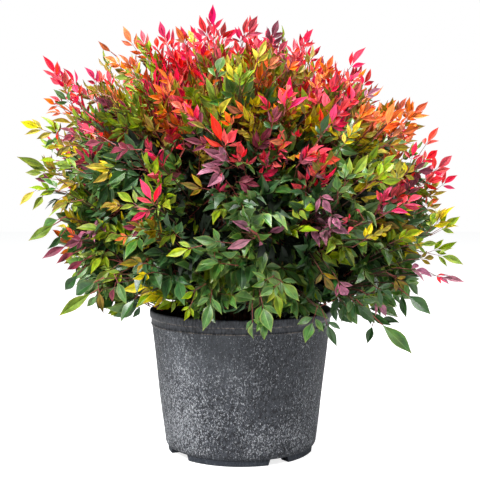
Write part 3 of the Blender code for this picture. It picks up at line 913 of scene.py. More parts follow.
mass_meshes = {name: node_arrays(name) for name in FOLIAGE}
_points, _faces, _owner = [], [], []
for name, (p, f) in mass_meshes.items():
    _faces += (f + len(_points)).tolist()
    _points += p.tolist()
    _owner += [name] * len(f)
CROWN = BVHTree.FromPolygons([Vector(p) for p in _points], _faces)
MIDDLES = {name: Vector(p.mean(0)) for name, (p, f) in mass_meshes.items()}


def covered(point, way):
    """Whether more foliage lies beyond this point of the crown."""
    return CROWN.ray_cast(point + way * 0.004, way, 0.6)[0] is not None


def outer_samples(spacing):
    """Points spread over the crown's outside: (point, normal, mass)."""
    tri = np.array(_points)[np.array(_faces)]
    cross = np.cross(tri[:, 1] - tri[:, 0], tri[:, 2] - tri[:, 0])
    area = np.linalg.norm(cross, axis=1) / 2
    wanted = int(area.sum() / (spacing * spacing) * 9)
    which = rng.choice(len(area), wanted, p=area / area.sum())
    a, b = rng.random(wanted), rng.random(wanted)
    flip = a + b > 1
    a[flip], b[flip] = 1 - a[flip], 1 - b[flip]
    spots = tri[which, 0] + (tri[which, 1] - tri[which, 0]) * a[:, None] + (tri[which, 2] - tri[which, 0]) * b[:, None]
    kept, grid = [], {}
    for k in range(wanted):
        point = Vector(spots[k])
        key = tuple(int(math.floor(c / spacing)) for c in point)
        near = False
        for dx in (-1, 0, 1):
            for dy in (-1, 0, 1):
                for dz in (-1, 0, 1):
                    for other in grid.get((key[0] + dx, key[1] + dy, key[2] + dz), ()):
                        if (other - point).length < spacing:
                            near = True
        if near:
            continue
        normal = Vector(cross[which[k]]).normalized()
        away = (point - FAN).normalized()
        if normal.dot(away) < 0.12 or covered(point, away):
            continue
        grid.setdefault(key, []).append(point)
        kept.append((point, normal, _owner[which[k]]))
    return kept


def crown_normal(point):
    offset = point - Vector((0, 0, 0.34))
    return Vector((offset.x / 0.17, offset.y / 0.17, offset.z / 0.26)).normalized()


def zone_blend(point):
    """The blend of tints where a spray stands. The back repeats the front, turned round."""
    spot = point.copy()
    if spot.y > 0.04:
        spot = Vector((-spot.x, -spot.y, spot.z))
    x, y = project(spot)
    x, y = x + rng.normal(0, 5), y + rng.normal(0, 5)
    blends, weights = [], []
    for zx, zy, radius, blend, weight in ZONES:
        far = ((x - zx) ** 2 + (y - zy) ** 2) / (radius * radius)
        if far < 6:
            blends.append(blend)
            weights.append((weight * math.exp(-1.1 * far)) ** 1.8)
    height = (point.z - 0.28) / 0.54
    blends += ["green", "deep", "olive", "lime", "red", "copper"]
    base = 0.040
    weights += [
        base * (1.9 - 1.5 * height),
        base * (1.5 - 1.2 * height),
        base * max(0.05, min(1.0, height * 1.6 - 0.2)),
        base * 0.35,
        base * max(0.0, height - 0.35) * 1.4,
        base * max(0.0, height - 0.25) * 1.0,
    ]
    return pick(blends, weights)


def zone_tint(point, depth):
    """The tint of a spray: mostly its branch's own, and now and then another's."""
    near = BRANCHES.find(point + jitter(0.010))[1]
    blend = BRANCH_BLENDS[near] if rng.random() < 0.74 else zone_blend(point)
    if depth > 0 and rng.random() < 0.50 + 0.2 * depth:
        blend = behind(blend, point.z)
    names, shares = zip(*BLENDS[blend])
    lead = pick(names, shares)
    # Low down the brightest tints are rare, and only single shoots have them.
    if lead in ("red", "crimson", "coral", "orange") and point.z < 0.49:
        lead = pick(("green", "deep", "mauve", "copper"), (5, 3, 1, 1))
    # The greens give way to olive and copper towards the top.
    if lead in ("green", "deep") and rng.random() < 3.2 * ((point.z - 0.28) / 0.54 - 0.48):
        lead = pick(("olive", "copper", "lime", "crimson"), (4, 3, 3, 3))
    return lead


def behind(tint, height):
    """The tint of what stands behind a tinted leaflet or branch."""
    if (height - 0.28) / 0.54 + rng.normal(0, 0.08) < 0.68:
        return BEHIND[tint]
    choices = BEHIND_HIGH[tint]
    return choices[int(rng.integers(len(choices)))]


def spray_tints(lead, depth, point):
    """Outer, next and innermost leaflets of a spray. The darkest ones, in the near-black shade
    tint that paints shade, stand deep inside and in the gaps of the front, not along the crown's outline."""
    height = point.z
    # dark is the tint of the leaflets inside. In the gaps of the front it is shade, which is painted shade. Near the
    # outline, low on the right and at the back it is deep green, the leaves' own colour. High up it is lime, olive or
    # copper: real tints, kept pale as painted light where the thin top lets light through.
    dark = "shade"
    if height + rng.normal(0, 0.02) > 0.66:
        dark = ("lime", "olive", "copper")[int(rng.integers(3))]
    elif (height < 0.345 and point.x > 0.17) or crown_normal(point).y > (-0.45 if depth < 2 else -0.30) - 0.15 * (point.x < 0):
        dark = "deep"
    if depth >= 2:
        return (lead if rng.random() < 0.3 else dark, dark, dark)
    if depth == 1 and height < 0.60 and rng.random() < 0.86:
        return (lead if rng.random() < 0.25 else dark, dark, dark)
    aside = min(1.0, abs(point.x) / 0.36)
    second = lead if rng.random() < 0.55 + 0.30 * aside else behind(lead, height)
    third = behind(second, height) if rng.random() < 0.6 else second
    return (lead, second, third)


def across_of(way):
    """A chance direction at right angles to another."""
    other = jitter(1.0)
    other = other - way * other.dot(way)
    return other.normalized()


def frame_for(point):
    """Axis and blade face of a spray whose tip stands at a point of the crown."""
    out = crown_normal(point)
    height = (point.z - 0.28) / 0.54
    low = max(0.0, min(1.0, (0.62 - height) / 0.5))
    fan = (point - FAN - UP * (0.14 - 0.08 * low)).normalized()
    # High up the sprays rise with their branch; lower down they lie on the crown like
    # shingles, most tips hanging.
    axis = fan * (0.95 - 0.50 * low) + out * 0.20 + across_of(out) * (0.34 + 0.30 * low)
    axis.z += 0.10 * (1 - low) - 0.26 * low
    axis.normalize()
    level = Vector((out.x, out.y, 0))
    level = level.normalized() if level.length > 1e-4 else Vector((0, -1, 0))
    face = out * (0.45 + 0.45 * low) + UP * (0.32 + 0.33 * low) + level * (0.62 - 0.37 * low) + jitter(0.28)
    face = face - axis * face.dot(axis)
    if face.length < 0.15:
        face = level - axis * level.dot(axis)
    if face.length < 0.15:
        face = across_of(axis)
    return axis, face.normalized()


# Each branch, about a hand's width apart, has one blend of tints.
branch_points = [point for point, _, _ in outer_samples(0.052)]
BRANCHES = KDTree(len(branch_points))
for k, point in enumerate(branch_points):
    BRANCHES.insert(point, k)
BRANCHES.balance()
BRANCH_BLENDS = [zone_blend(point) for point in branch_points]

sprays = []  # (mass, base, axis) of each, for the twigs


def lay(tip, base, face, mass, kind, leaf, tints, fine=2, sag=0.04, slim=1.0, droop=0.14):
    """One spray from its foot to the point of its outermost leaflet."""
    axis = (tip - base).normalized()
    long = max((tip - base).length - 0.88 * leaf, 0.006)
    base = base + Vector((0, 0, sag * long))
    spray(base, axis, face, long, kind, leaf, tints, fine, sag, slim, droop)
    sprays.append((mass, base, axis))


def grow(point, mass, depth, lead=None, kind=None, scale=1.0, axis=None, face=None, sag=None, leaf_scale=1.0):
    """One spray whose outermost leaflet ends near a point."""
    height = (point.z - 0.28) / 0.54
    lead = lead or zone_tint(point, depth)
    warm = lead in WARM
    if kind is None:
        kind = pick(("plume", "young", "big", "mid"), (6, 2, 1, 1) if warm and height > 0.3 else (0.6, 0.6, 4, 4))
    long = {"plume": 0.092, "young": 0.085, "big": 0.100, "mid": 0.074}[kind] * rng.uniform(0.85, 1.18) * scale
    low = max(0.0, min(1.0, (0.60 - height) / 0.4))
    leaf = (0.0370 + 0.0070 * low if not warm else 0.0330 + 0.0030 * low) * rng.uniform(0.86, 1.20)
    leaf *= leaf_scale
    if axis is None:
        axis, face = frame_for(point)
    slim = 1.0 + 0.12 * low
    sag = (0.06 + 0.22 * max(0.0, 0.5 - height)) if sag is None else sag
    tip = point - axis * (leaf * 0.80)
    base = tip - axis * long + Vector((0, 0, sag * long))
    spray(base, axis, face, long, kind, leaf, spray_tints(lead, depth, point), int(depth == 0), sag, slim, 0.16)
    sprays.append((mass, base, axis))
    return base


def nearest_mass(point):
    return _owner[CROWN.find_nearest(point)[2]]


# Shoots that lead at the sides and the back, where no row below places them.
for azimuth, out, height, lead in LEADERS:
    turn = math.radians(azimuth)
    if abs(math.sin(turn)) < 0.6:
        continue
    tip = Vector((out * math.cos(turn), out * math.sin(turn), height))
    mass = nearest_mass(tip)
    axis = (tip - FAN).normalized() * 0.8 + crown_normal(tip) * 0.2
    axis.normalize()
    _, face = frame_for(tip)
    face = (face - axis * face.dot(axis)).normalized()
    grow(tip, mass, 0, lead, "plume", 1.3, axis, face, 0.05)

# Sprays that stand out on the front: where the point of each shows in the picture, where its
# stalk comes from, its tint, kind (s leaflet, t trio, y young shoot) and leaflet length.
STANDOUTS = """
46 57 78 116 red y 20|72 80 84 112 red t 17|43 99 70 112 orange t 15|47 110 78 118 copper t 14
52 95 74 112 crimson t 12|88 67 102 96 crimson t 17|98 69 106 98 red t 14|108 70 114 98 red t 15
85 86 112 98 olive t 15|98 41 117 57 orange s 19|107 55 142 84 orange y 16|123 29 146 66 orange t 18|113 70 146 80 olive t 20
122 54 146 90 copper y 15|140 29 150 66 red t 18|155 34 160 62 red t 16|158 23 174 58 crimson t 19
176 28 196 58 copper t 17|190 30 198 62 yellow t 15|183 40 188 66 crimson y 15|199 17 214 52 crimson t 20
213 8 214 60 crimson t 20|226 22 216 52 red t 17|235 28 216 50 red t 16|193 31 212 54 red t 17
246 20 242 48 crimson t 17|258 16 236 56 crimson t 20|237 29 243 50 crimson t 13|255 36 258 62 red t 14
278 21 262 62 maroon y 18|266 29 272 56 crimson t 14|265 41 252 74 yellow t 22|286 41 268 70 crimson t 17
281 50 288 72 maroon t 14|312 28 289 72 crimson t 19|296 37 290 66 red t 18|278 55 262 76 copper t 18
300 58 272 84 orange t 16|306 64 284 88 olive t 16|320 57 308 90 red t 17|325 66 326 90 orange t 15
335 60 340 86 red t 17|364 48 336 88 red t 22|360 70 346 90 crimson t 14|345 70 352 90 red t 13
371 69 352 108 red t 19|378 87 350 110 mauve t 17|334 74 326 112 red t 19|316 85 322 126 red t 20
355 85 344 124 red t 20|350 98 312 150 crimson y 20|338 98 304 146 coral y 20|291 80 284 116 red y 18
262 92 270 116 crimson t 18|309 90 318 130 crimson t 18|277 104 270 136 maroon y 16|275 103 277 124 orange t 10
240 62 240 90 lime y 18|222 55 214 88 green t 22|226 62 238 88 yellow t 18|252 66 242 92 lime t 18
393 97 386 126 olive t 18|407 97 392 122 copper t 18|427 101 394 134 orange y 20|413 102 404 130 orange t 18
404 107 372 142 orange y 24|380 108 368 132 orange t 16|371 100 352 128 copper t 18|377 106 340 138 orange y 18
421 120 376 152 copper y 22|412 138 380 148 green t 22|360 122 340 150 yellow y 16|437 128 408 172 red t 20
417 142 406 176 red t 18|439 149 404 176 red y 20|453 154 394 208 red y 24|457 174 420 202 crimson t 18
446 172 414 190 red t 17|419 163 396 182 yellow t 19|400 159 396 186 yellow t 20|396 160 360 194 lime y 22
367 157 338 194 lime t 27|347 163 344 190 green t 17|337 174 338 204 green t 20|376 166 356 182 lime t 18
389 184 372 222 crimson y 18|396 186 384 216 crimson t 20|408 182 386 214 red y 18|422 194 370 224 crimson y 20
418 206 384 218 yellow t 16|444 191 420 200 olive t 14|439 197 414 212 copper t 16|442 202 416 214 olive t 15
451 208 426 234 yellow y 20|461 216 428 236 lime t 22|456 222 430 236 yellow t 16|424 228 390 244 yellow y 24
393 224 370 240 yellow t 16|384 229 352 248 yellow y 16|455 242 420 256 lime t 22|463 260 420 252 lime t 24
434 272 396 268 mauve t 24|461 280 424 274 mauve t 20|449 282 428 272 red t 14|424 293 390 274 green t 24
410 289 386 272 olive t 20|434 315 392 283 deep s 36|405 316 401 289 deep s 25|409 350 356 300 green s 41|400 321 371 319 deep s 24|366 345 375 318 deep s 23|388 314 368 294 mauve t 20|374 320 352 300 deep t 26|360 324 344 304 green t 24|384 306 360 290 green t 24|398 300 374 286 deep t 24|352 322 338 296 deep t 26|366 318 350 296 green t 24
334 344 322 310 deep t 24|305 344 318 306 green t 26|349 300 334 274 mauve t 22|332 290 318 266 olive t 20
268 329 260 294 green t 28|253 340 252 304 green t 20|265 339 260 308 green t 18|207 329 212 290 green t 30
184 320 194 298 lime t 15|182 298 206 284 lime t 18|203 261 238 266 green t 24|169 253 202 246 lime t 22
198 239 234 244 green t 22|229 256 254 258 green t 18|252 287 274 276 green t 20|260 296 282 282 green t 22
297 298 280 280 green t 24|234 219 257 234 mauve S 26|284 225 262 236 mauve S 24|229 248 255 238 mauve S 27|262 247 258 235 mauve S 14|246 227 257 235 mauve S 14
21 122 68 139 yellow y 21|52 118 60 140 olive t 16|42 145 70 138 green t 18|47 147 78 146 olive y 16
55 118 86 128 olive t 20|58 127 100 144 maroon y 18|76 122 116 146 crimson y 20|107 150 142 150 maroon y 20
22 158 50 168 lime s 27|39 158 64 162 lime s 22|30 164 60 176 lime y 22|26 172 60 174 lime t 18|35 177 60 180 mauve t 14
55 160 86 174 lime y 18|29 187 66 192 lime y 20|20 202 40 187 yellow s 21|36 206 48 188 lime s 20
50 206 84 200 olive t 20|39 226 66 217 green s 25|28 240 62 220 lime s 33|51 247 66 230 deep s 20
66 228 80 242 orange t 12|40 256 72 244 maroon s 31|55 261 86 248 maroon s 27|67 269 92 256 maroon s 23|62 246 90 238 maroon t 20
61 293 86 266 deep s 30|67 295 104 278 deep s 36|57 313 99 289 lime s 43|86 308 102 290 green s 18
102 310 98 284 olive s 24|117 321 139 294 deep s 32|236 40 238 60 red t 15|166 32 168 58 red t 14|182 28 188 56 crimson t 14|436 244 404 246 lime t 20|426 238 398 242 green t 20|438 257 408 260 olive t 18|125 299 114 274 green s 24|110 302 116 282 maroon s 18|89 270 110 248 lime t 22|88 166 126 170 yellow y 20
98 204 140 208 olive y 20|118 190 142 210 lime t 24|142 181 154 205 red T 24|160 186 157 204 red s 17|133 219 154 208 crimson t 18
116 240 134 234 orange t 13|121 226 146 229 maroon t 18|130 221 146 231 olive t 16|121 262 148 264 olive t 22|134 278 154 272 yellow t 16
170 98 214 136 copper y 20|182 102 206 130 crimson y 20|211 119 228 156 coral t 28|237 128 222 154 coral t 22
226 110 234 138 orange t 16|187 138 214 148 maroon t 20|206 150 238 168 mauve y 24|196 172 234 168 mauve y 26
238 144 246 176 red y 18|263 150 268 178 crimson y 14|278 170 256 178 crimson t 20|260 184 236 182 maroon y 18
225 107 256 118 copper t 20|338 158 298 162 coral y 22|318 144 296 168 crimson y 20|272 152 294 160 maroon y 16
182 184 210 190 olive t 22|332 212 320 196 mauve t 20|340 229 328 208 mauve t 18|343 218 357 222 crimson t 13|349 229 362 223 crimson s 13|357 208 364 221 crimson s 13
183 136 184 149 lime s 12|177 162 185 149 lime s 15|290 80 289 97 red s 17|284 91 285 110 red s 19|305 95 284 113 crimson s 26
325 90 328 116 red s 26|316 88 318 108 orange s 20|320 110 321 127 red s 17|348 101 326 124 red s 32|338 112 312 140 crimson s 36
297 130 296 140 red t 13|274 140 292 144 copper t 20|340 160 318 157 orange s 22|333 132 343 141 yellow t 12|302 104 306 119 olive s 16
"""

# A capital letter stands for the same kind, further out.
SHORT = {"s": "single", "t": "trio", "y": "young", "p": "plume"}


def sight(x, y):
    """The line of sight through a place in the picture."""
    c, s = math.cos(CAMERA_PITCH), math.sin(CAMERA_PITCH)
    right, up = (x - PICTURE_PX / 2) / FOCAL_PX, (PICTURE_PX / 2 - y) / FOCAL_PX
    return Vector((right, c + up * s, -s + up * c)).normalized()


def seen_at(x, y, depth):
    """The point through a place in the picture that lies at this y of the scene."""
    way = sight(x, y)
    return CAMERA_AT + way * ((depth - CAMERA_AT.y) / way.y)


for row in STANDOUTS.replace("|", "\n").split("\n"):
    if not row:
        continue
    *places, lead, kind, size = row.split()
    tip_x, tip_y, base_x, base_y = map(float, places)
    base_hit = CROWN.ray_cast(CAMERA_AT, sight(base_x, base_y))[0]
    tip_hit = CROWN.ray_cast(CAMERA_AT, sight(tip_x, tip_y))[0]
    base_depth = (base_hit.y if base_hit else -0.02) + 0.022
    tip_depth = tip_hit.y - 0.008 if tip_hit else base_depth - 0.02
    tip_depth = max(min(tip_depth, base_depth + 0.016), base_depth - 0.05)
    if kind.isupper():
        kind, base_depth, tip_depth = kind.lower(), base_depth - 0.028, tip_depth - 0.012
    tip, base = seen_at(tip_x, tip_y, tip_depth), seen_at(base_x, base_y, base_depth)
    leaf = float(size) * (tip.y - CAMERA_AT.y) / FOCAL_PX
    if kind == "y" and (tip - base).length > 0.062:
        kind = "p"
    near = (CAMERA_AT - tip).normalized()
    face = near * 0.85 + UP * 0.30 + jitter(0.26)
    second = lead if rng.random() < 0.75 else behind(lead, tip.z)
    lay(tip, base, face, nearest_mass(base), SHORT[kind], leaf, (lead, second, behind(second, base.z)), sag=0.02, slim=0.86 if kind == "s" else 1.0, droop=0.20)
standout_count = len(sprays)


# The lower edge of the crown on the front, in pixels of the picture: x, y
UNDERSIDE = (
    (40, 258), (60, 266), (85, 280), (110, 290), (130, 284), (150, 284), (168, 289), (186, 300), (205, 314),
    (225, 314), (245, 314), (260, 322), (285, 320), (330, 321), (346, 316), (366, 316),
    (386, 304), (406, 294), (430, 280), (450, 264),
)  # fmt: skip


# Where the foliage parts on the front and along its outline, in pixels: x, y, radius
GAPS = (
    (178, 308, 8), (236, 311, 11), (222, 268, 7), (150, 262, 7), (262, 205, 8), (196, 196, 7), (300, 192, 7), (318, 246, 7),
    (112, 64, 10), (82, 88, 6), (312, 56, 8), (326, 66, 9), (296, 48, 6), (262, 44, 5), (375, 98, 10), (384, 110, 7), (408, 117, 8),
    (406, 150, 8), (393, 300, 8), (128, 290, 7), (352, 90, 6), (340, 128, 6), (300, 118, 6), (224, 176, 7), (180, 232, 6), (290, 262, 6),
    (66, 75, 7), (260, 36, 6), (331, 64, 5), (137, 314, 10), (120, 295, 6), (170, 170, 8), (205, 184, 7), (162, 150, 6), (192, 160, 7),
    (240, 190, 6), (197, 122, 6), (250, 140, 6), (114, 303, 8), (205, 262, 6), (246, 262, 6), (182, 276, 6), (302, 226, 6),
    (330, 271, 6), (276, 241, 5),
)  # fmt: skip


def parted(place):
    if place.y > 0.10:
        return False
    x, y = project(place)
    return any((x - gx) ** 2 + (y - gy) ** 2 < radius * radius for gx, gy, radius in GAPS)


def settle(point, low, high):
    """A fill spray's place: some way inside the crown's surface, clear of the pot's rim."""
    place = point - crown_normal(point) * rng.uniform(low, high)
    # Low down at the rim of the crown the fill stands back, so that the sprays hang apart.
    loose = max(0.0, min(1.0, (0.47 - point.z) / 0.12)) * max(0.0, min(1.0, (math.hypot(point.x, point.y) - 0.24) / 0.10))
    place -= Vector((point.x, point.y, 0)).normalized() * ((0.026 if high < 0.03 else 0.055) * loose)
    out = max(0.0, min(1.0, (math.hypot(place.x, max(place.y, -0.1)) - 0.16) / 0.22))
    floor = (0.308 if high < 0.03 else 0.345) + 0.042 * out
    if place.z < floor:
        place.z = floor + 0.25 * (place.z - floor)
    if place.y < (0.15 if abs(place.x) > 0.19 else 0.05):
        x, y = project(place)
        edge = float(np.interp(x, *zip(*UNDERSIDE)))
        # Further in it ends higher, but still hides the light between the rim and the crown.
        edge -= 3 if high < 0.03 else 28 if not 150 < x < 330 else min(28, max(0, edge - 286))
        place.z += max(0.0, y - edge) * (place.y - CAMERA_AT.y) / FOCAL_PX
    return place


for point, normal, mass in outer_samples(0.031):
    if rng.random() < (0.23 if point.y < 0.05 and point.z < 0.62 else 0.10 if point.z < 0.50 else 0.0):
        continue
    place = settle(point, 0.002, 0.026)
    if not parted(place):
        grow(place, mass, 0)
outer_count = len(sprays)
# The top is set with many small young shoots.
for point, normal, mass in outer_samples(0.042):
    if point.z > 0.66 + 0.05 * rng.random():
        grow(settle(point, 0.002, 0.020), mass, 0, kind="young", scale=0.8, leaf_scale=0.82)
# Further in the foliage thins out towards the top, where light comes through.
for point, normal, mass in outer_samples(0.036):
    place = settle(point, 0.030, 0.055)
    if rng.random() > 5.5 * (point.z - 0.67) and not parted(place):
        grow(place, mass, 1)
for point, normal, mass in outer_samples(0.050):
    if rng.random() > 10.0 * (point.z - 0.67):
        grow(settle(point, 0.070, 0.110), mass, 2, scale=0.9)

# ---- limbs from the solids ------------------------------------------------------------


def limb_rings(name, sides):
    """Middle and radius of each ring of a limb's solid, from its foot to its tip."""
    points, _ = node_arrays(name)
    _, first = np.unique(np.round(points, 5), axis=0, return_index=True)
    points = points[np.sort(first)]
    foot = points[np.argmin(np.hypot(points[:, 0], points[:, 1]) + points[:, 2] * 3)]
    far = points[np.argmax(np.linalg.norm(points - foot, axis=1))]
    order = np.argsort((points - foot) @ (far - foot))
    points = points[order]
    rings = [points[i : i + sides] for i in range(0, len(points) - sides + 1, sides)]
    return [(Vector(r.mean(0)), float(np.linalg.norm(r - r.mean(0), axis=1).mean())) for r in rings]


CANES = [f"cane_{k}" for k in range(1, 12)]
BOUGHS = [f"bough_{k}" for k in range(1, 18)]
limbs = {name: limb_rings(name, 7) for name in CANES}
limbs |= {name: limb_rings(name, 6) for name in BOUGHS}
CARRIED = dict(zip([f"foliage_top_{k}" for k in range(1, 5)], CANES[:4]))
CARRIED |= dict(zip([f"foliage_upper_{k}" for k in range(1, 8)], CANES[4:]))
CARRIED |= dict(zip([f"foliage_middle_{k}" for k in range(1, 9)], BOUGHS[:8]))
CARRIED |= dict(zip([f"foliage_lower_{k}" for k in range(1, 10)], BOUGHS[8:]))


def limb_mesh(names, title, look, around, node_gap):
    """Bark relief along each limb: rough ridges, and a swollen joint every so often."""
    all_points, all_faces, first = [], [], 0
    local = np.random.default_rng(SEED + len(names))
    for name in names:
        rings = limbs[name]
        centres = np.array([tuple(c) for c, _ in rings])
        radii = np.array([r for _, r in rings])
        gaps = np.r_[0, np.cumsum(np.linalg.norm(np.diff(centres, axis=0), axis=1))]
        length = gaps[-1]
        steps = max(int(length / 0.0022), 8)
        s = np.linspace(0, length, steps)
        line = np.stack([np.interp(s, gaps, centres[:, i]) for i in range(3)], 1)
        for _ in range(3):
            line[1:-1] = (line[:-2] + 2 * line[1:-1] + line[2:]) / 4
        radius = np.interp(s, gaps, radii)
        joint = (s / node_gap + local.uniform()) % 1.0
        radius = radius * (1 + 0.13 * np.exp(-(((joint - 0.5) / 0.07) ** 2)))
        ahead = np.gradient(line, axis=0)
        ahead /= np.linalg.norm(ahead, axis=1, keepdims=True)
        across = np.cross(ahead, [0.31, 0.93, 0.17])
        across /= np.linalg.norm(across, axis=1, keepdims=True)
        beside = np.cross(ahead, across)
        angle = np.arange(around) * math.tau / around
        phase = local.uniform(0, math.tau, 3)
        ridge = (
            0.035 * np.sin(5 * angle[None] + phase[0] + 18 * s[:, None])
            + 0.030 * np.sin(9 * angle[None] + phase[1] - 34 * s[:, None])
            + local.normal(0, 0.022, (steps, around))
        )
        reach = radius[:, None] * (0.955 + ridge)
        ring = (
            line[:, None]
            + across[:, None] * (np.cos(angle)[None] * reach)[..., None]
            + beside[:, None] * (np.sin(angle)[None] * reach)[..., None]
        )
        if names is CANES:
            ring[0, :, 2] = line[0, 2]
        points = np.concatenate([ring.reshape(-1, 3), line[:1], line[-1:]])
        faces = []
        for k in range(steps - 1):
            a, b = k * around, (k + 1) * around
            for i in range(around):
                j = (i + 1) % around
                faces += [(a + i, a + j, b + j), (a + i, b + j, b + i)]
        foot, tip = steps * around, steps * around + 1
        last = (steps - 1) * around
        for i in range(around):
            j = (i + 1) % around
            faces += [(foot, j, i), (tip, last + i, last + j)]
        all_points.append(points)
        all_faces.append(np.array(faces) + first)
        first += len(points)
    return mesh_object(title, np.concatenate(all_points), np.concatenate(all_faces), None, look)


def curved(a, b, c, steps):
    return [a * (1 - t) ** 2 + b * (2 * t * (1 - t)) + c * t * t for t in (k / (steps - 1) for k in range(steps))]


def fork(mass):
    """Twigs from a mass's limb to its sprays: it forks to a few hubs, and they to the bases."""
    bases = [(b, axis) for m, b, axis in sprays if m == mass]
    if not bases:
        return
    rings = limbs[CARRIED[mass]]
    root, radius = rings[-1]
    heading = (rings[-1][0] - rings[-2][0]).normalized()
    middle = MIDDLES[mass]
    hubs = []
    count = max(3, min(8, len(bases) // 7))
    picks = rng.choice(len(bases), count, replace=False)
    for k in picks:
        hub = root.lerp(bases[k][0], rng.uniform(0.40, 0.56)).lerp(middle, 0.24)
        hubs.append(hub - crown_normal(hub) * 0.020)
    for hub in hubs:
        reach = (hub - root).length
        bend = root + heading * (0.45 * reach)
        line = curved(root - heading * 0.004, bend, hub, 6)
        twigs.add(line, [radius * 0.50 * (1 - 0.60 * k / 5) for k in range(6)])
    for base, axis in bases:
        hub = min(hubs, key=lambda h: (h - base).length)
        reach = (base - hub).length
        bend = (base - axis * (0.25 * reach)).lerp(middle, 0.42)
        bend -= crown_normal(bend) * min(0.030, 0.35 * reach)
        twigs.add(curved(hub, bend, base + axis * 0.002, 4), [0.0013, 0.0011, 0.0010, 0.0008])


for mass in FOLIAGE:
    fork(mass)

# ---- pot ------------------------------------------------------------------------------

POT_LOW, POT_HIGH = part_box("pot")
RIM = (POT_HIGH.x - POT_LOW.x) / 2
TOP = POT_HIGH.z
FOOT = 0.0115
NOTCHES = ((-67.5, -45.0), (22.5, 37.5), (75.0, 90.0), (127.5, 142.5), (180.0, 195.0), (232.5, 247.5))


def wall_at(z):
    low, high = 0.1467, RIM - 0.0030
    t = (z - 0.023) / (TOP - 0.0146 - 0.023)
    return low + (high - low) * (t + 0.10 * t * (1 - t))


def pot_mesh(look):
    """The turned shell: rounded lip, fine line under it, soft lower edge, notched foot."""
    around = 240
    lip = TOP - 0.0146
    line = TOP - 0.027
    profile = [(0.1425, FOOT), (0.1436, FOOT + 0.0010), (0.1450, FOOT + 0.0032), (0.1461, FOOT + 0.0065), (0.1467, 0.023)]
    profile += [(wall_at(z), z) for z in np.linspace(0.030, line - 0.0042, 34)]
    neck = wall_at(line)
    profile += [
        (neck - 0.0002, line - 0.0022),
        (neck + 0.0005, line - 0.0012),
        (neck + 0.0014, line - 0.0004),
        (neck + 0.0016, line + 0.0006),
        (neck + 0.0010, line + 0.0016),
        (neck + 0.0009, line + 0.0045),
        (neck + 0.0012, lip - 0.0020),
        (neck + 0.0016, lip - 0.0006),
        (RIM - 0.0014, lip + 0.0002),
        (RIM - 0.0005, lip + 0.0012),
        (RIM - 0.0003, lip + 0.0040),
        (RIM - 0.0002, TOP - 0.0034),
        (RIM - 0.0003, TOP - 0.0018),
        (RIM - 0.0009, TOP - 0.0006),
        (RIM - 0.0018, TOP),
        (RIM - 0.0032, TOP),
        (RIM - 0.0040, TOP - 0.0006),
        (RIM - 0.0044, TOP - 0.0020),
        (wall_at(lip) - 0.0029, lip + 0.002),
        (wall_at(lip) - 0.0031, lip - 0.006),
        (wall_at(0.20) - 0.0029, 0.20),
        (0.1438, 0.024),
        (0.1398, FOOT + 0.004),
        (0.0001, FOOT + 0.004),
    ]
    angle = np.arange(around) * math.tau / around
    points = []
    for r, z in profile:
        wobble = 0.00035 * np.sin(3 * angle + 40 * z) + 0.0002 * np.sin(7 * angle - 25 * z)
        reach = r + (wobble if 0.02 < z < lip - 0.004 and r > 0.14 else 0)
        reach = np.broadcast_to(reach, angle.shape)
        points.append(np.stack([reach * np.cos(angle), reach * np.sin(angle), np.full(around, z)], 1))
    rings = len(points)
    faces = []
    for k in range(rings - 1):
        a, b = k * around, (k + 1) * around
        i = np.arange(around)
        j = (i + 1) % around
        faces.append(np.stack([a + i, a + j, b + j], 1))
        faces.append(np.stack([a + i, b + j, b + i], 1))
    # The underside, ring by ring from the wall's foot to the middle, drawn down at the feet.
    front = (np.degrees(angle) + 90 + 180) % 360 - 180  # 0 at the front, positive to the right
    shown = np.ones(around, bool)
    for low, high in NOTCHES:
        middle = ((front - (low + high) / 2 + 180) % 360) - 180
        shown &= np.abs(middle) > (high - low) / 2
    deep_at = np.where(shown, 0.0, FOOT)
    under = [
        (0.1413, np.full(around, FOOT)),
        (0.1408, deep_at * 0.9 + FOOT * 0.1),
        (0.1400, deep_at + np.where(shown, 0.0006, 0)),
        (0.1394, deep_at),
        (0.1204, deep_at),
        (0.1196, deep_at + np.where(shown, 0.0006, 0)),
        (0.1190, np.full(around, FOOT)),
        (0.0001, np.full(around, FOOT)),
    ]
    previous = 0
    base = rings
    for r, z in under:
        points.append(np.stack([r * np.cos(angle), r * np.sin(angle), z], 1))
        a, b = base * around, previous * around
        i = np.arange(around)
        j = (i + 1) % around
        faces.append(np.stack([a + i, a + j, b + j], 1))
        faces.append(np.stack([a + i, b + j, b + i], 1))
        previous = base
        base += 1
    obj = mesh_object("nursery_pot", np.concatenate(points), np.concatenate(faces), None, look)
    obj.data.set_sharp_from_angle(angle=math.radians(50))
    return obj


# ---- potting mix ----------------------------------------------------------------------

MIX_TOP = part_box("potting_mix")[1].z


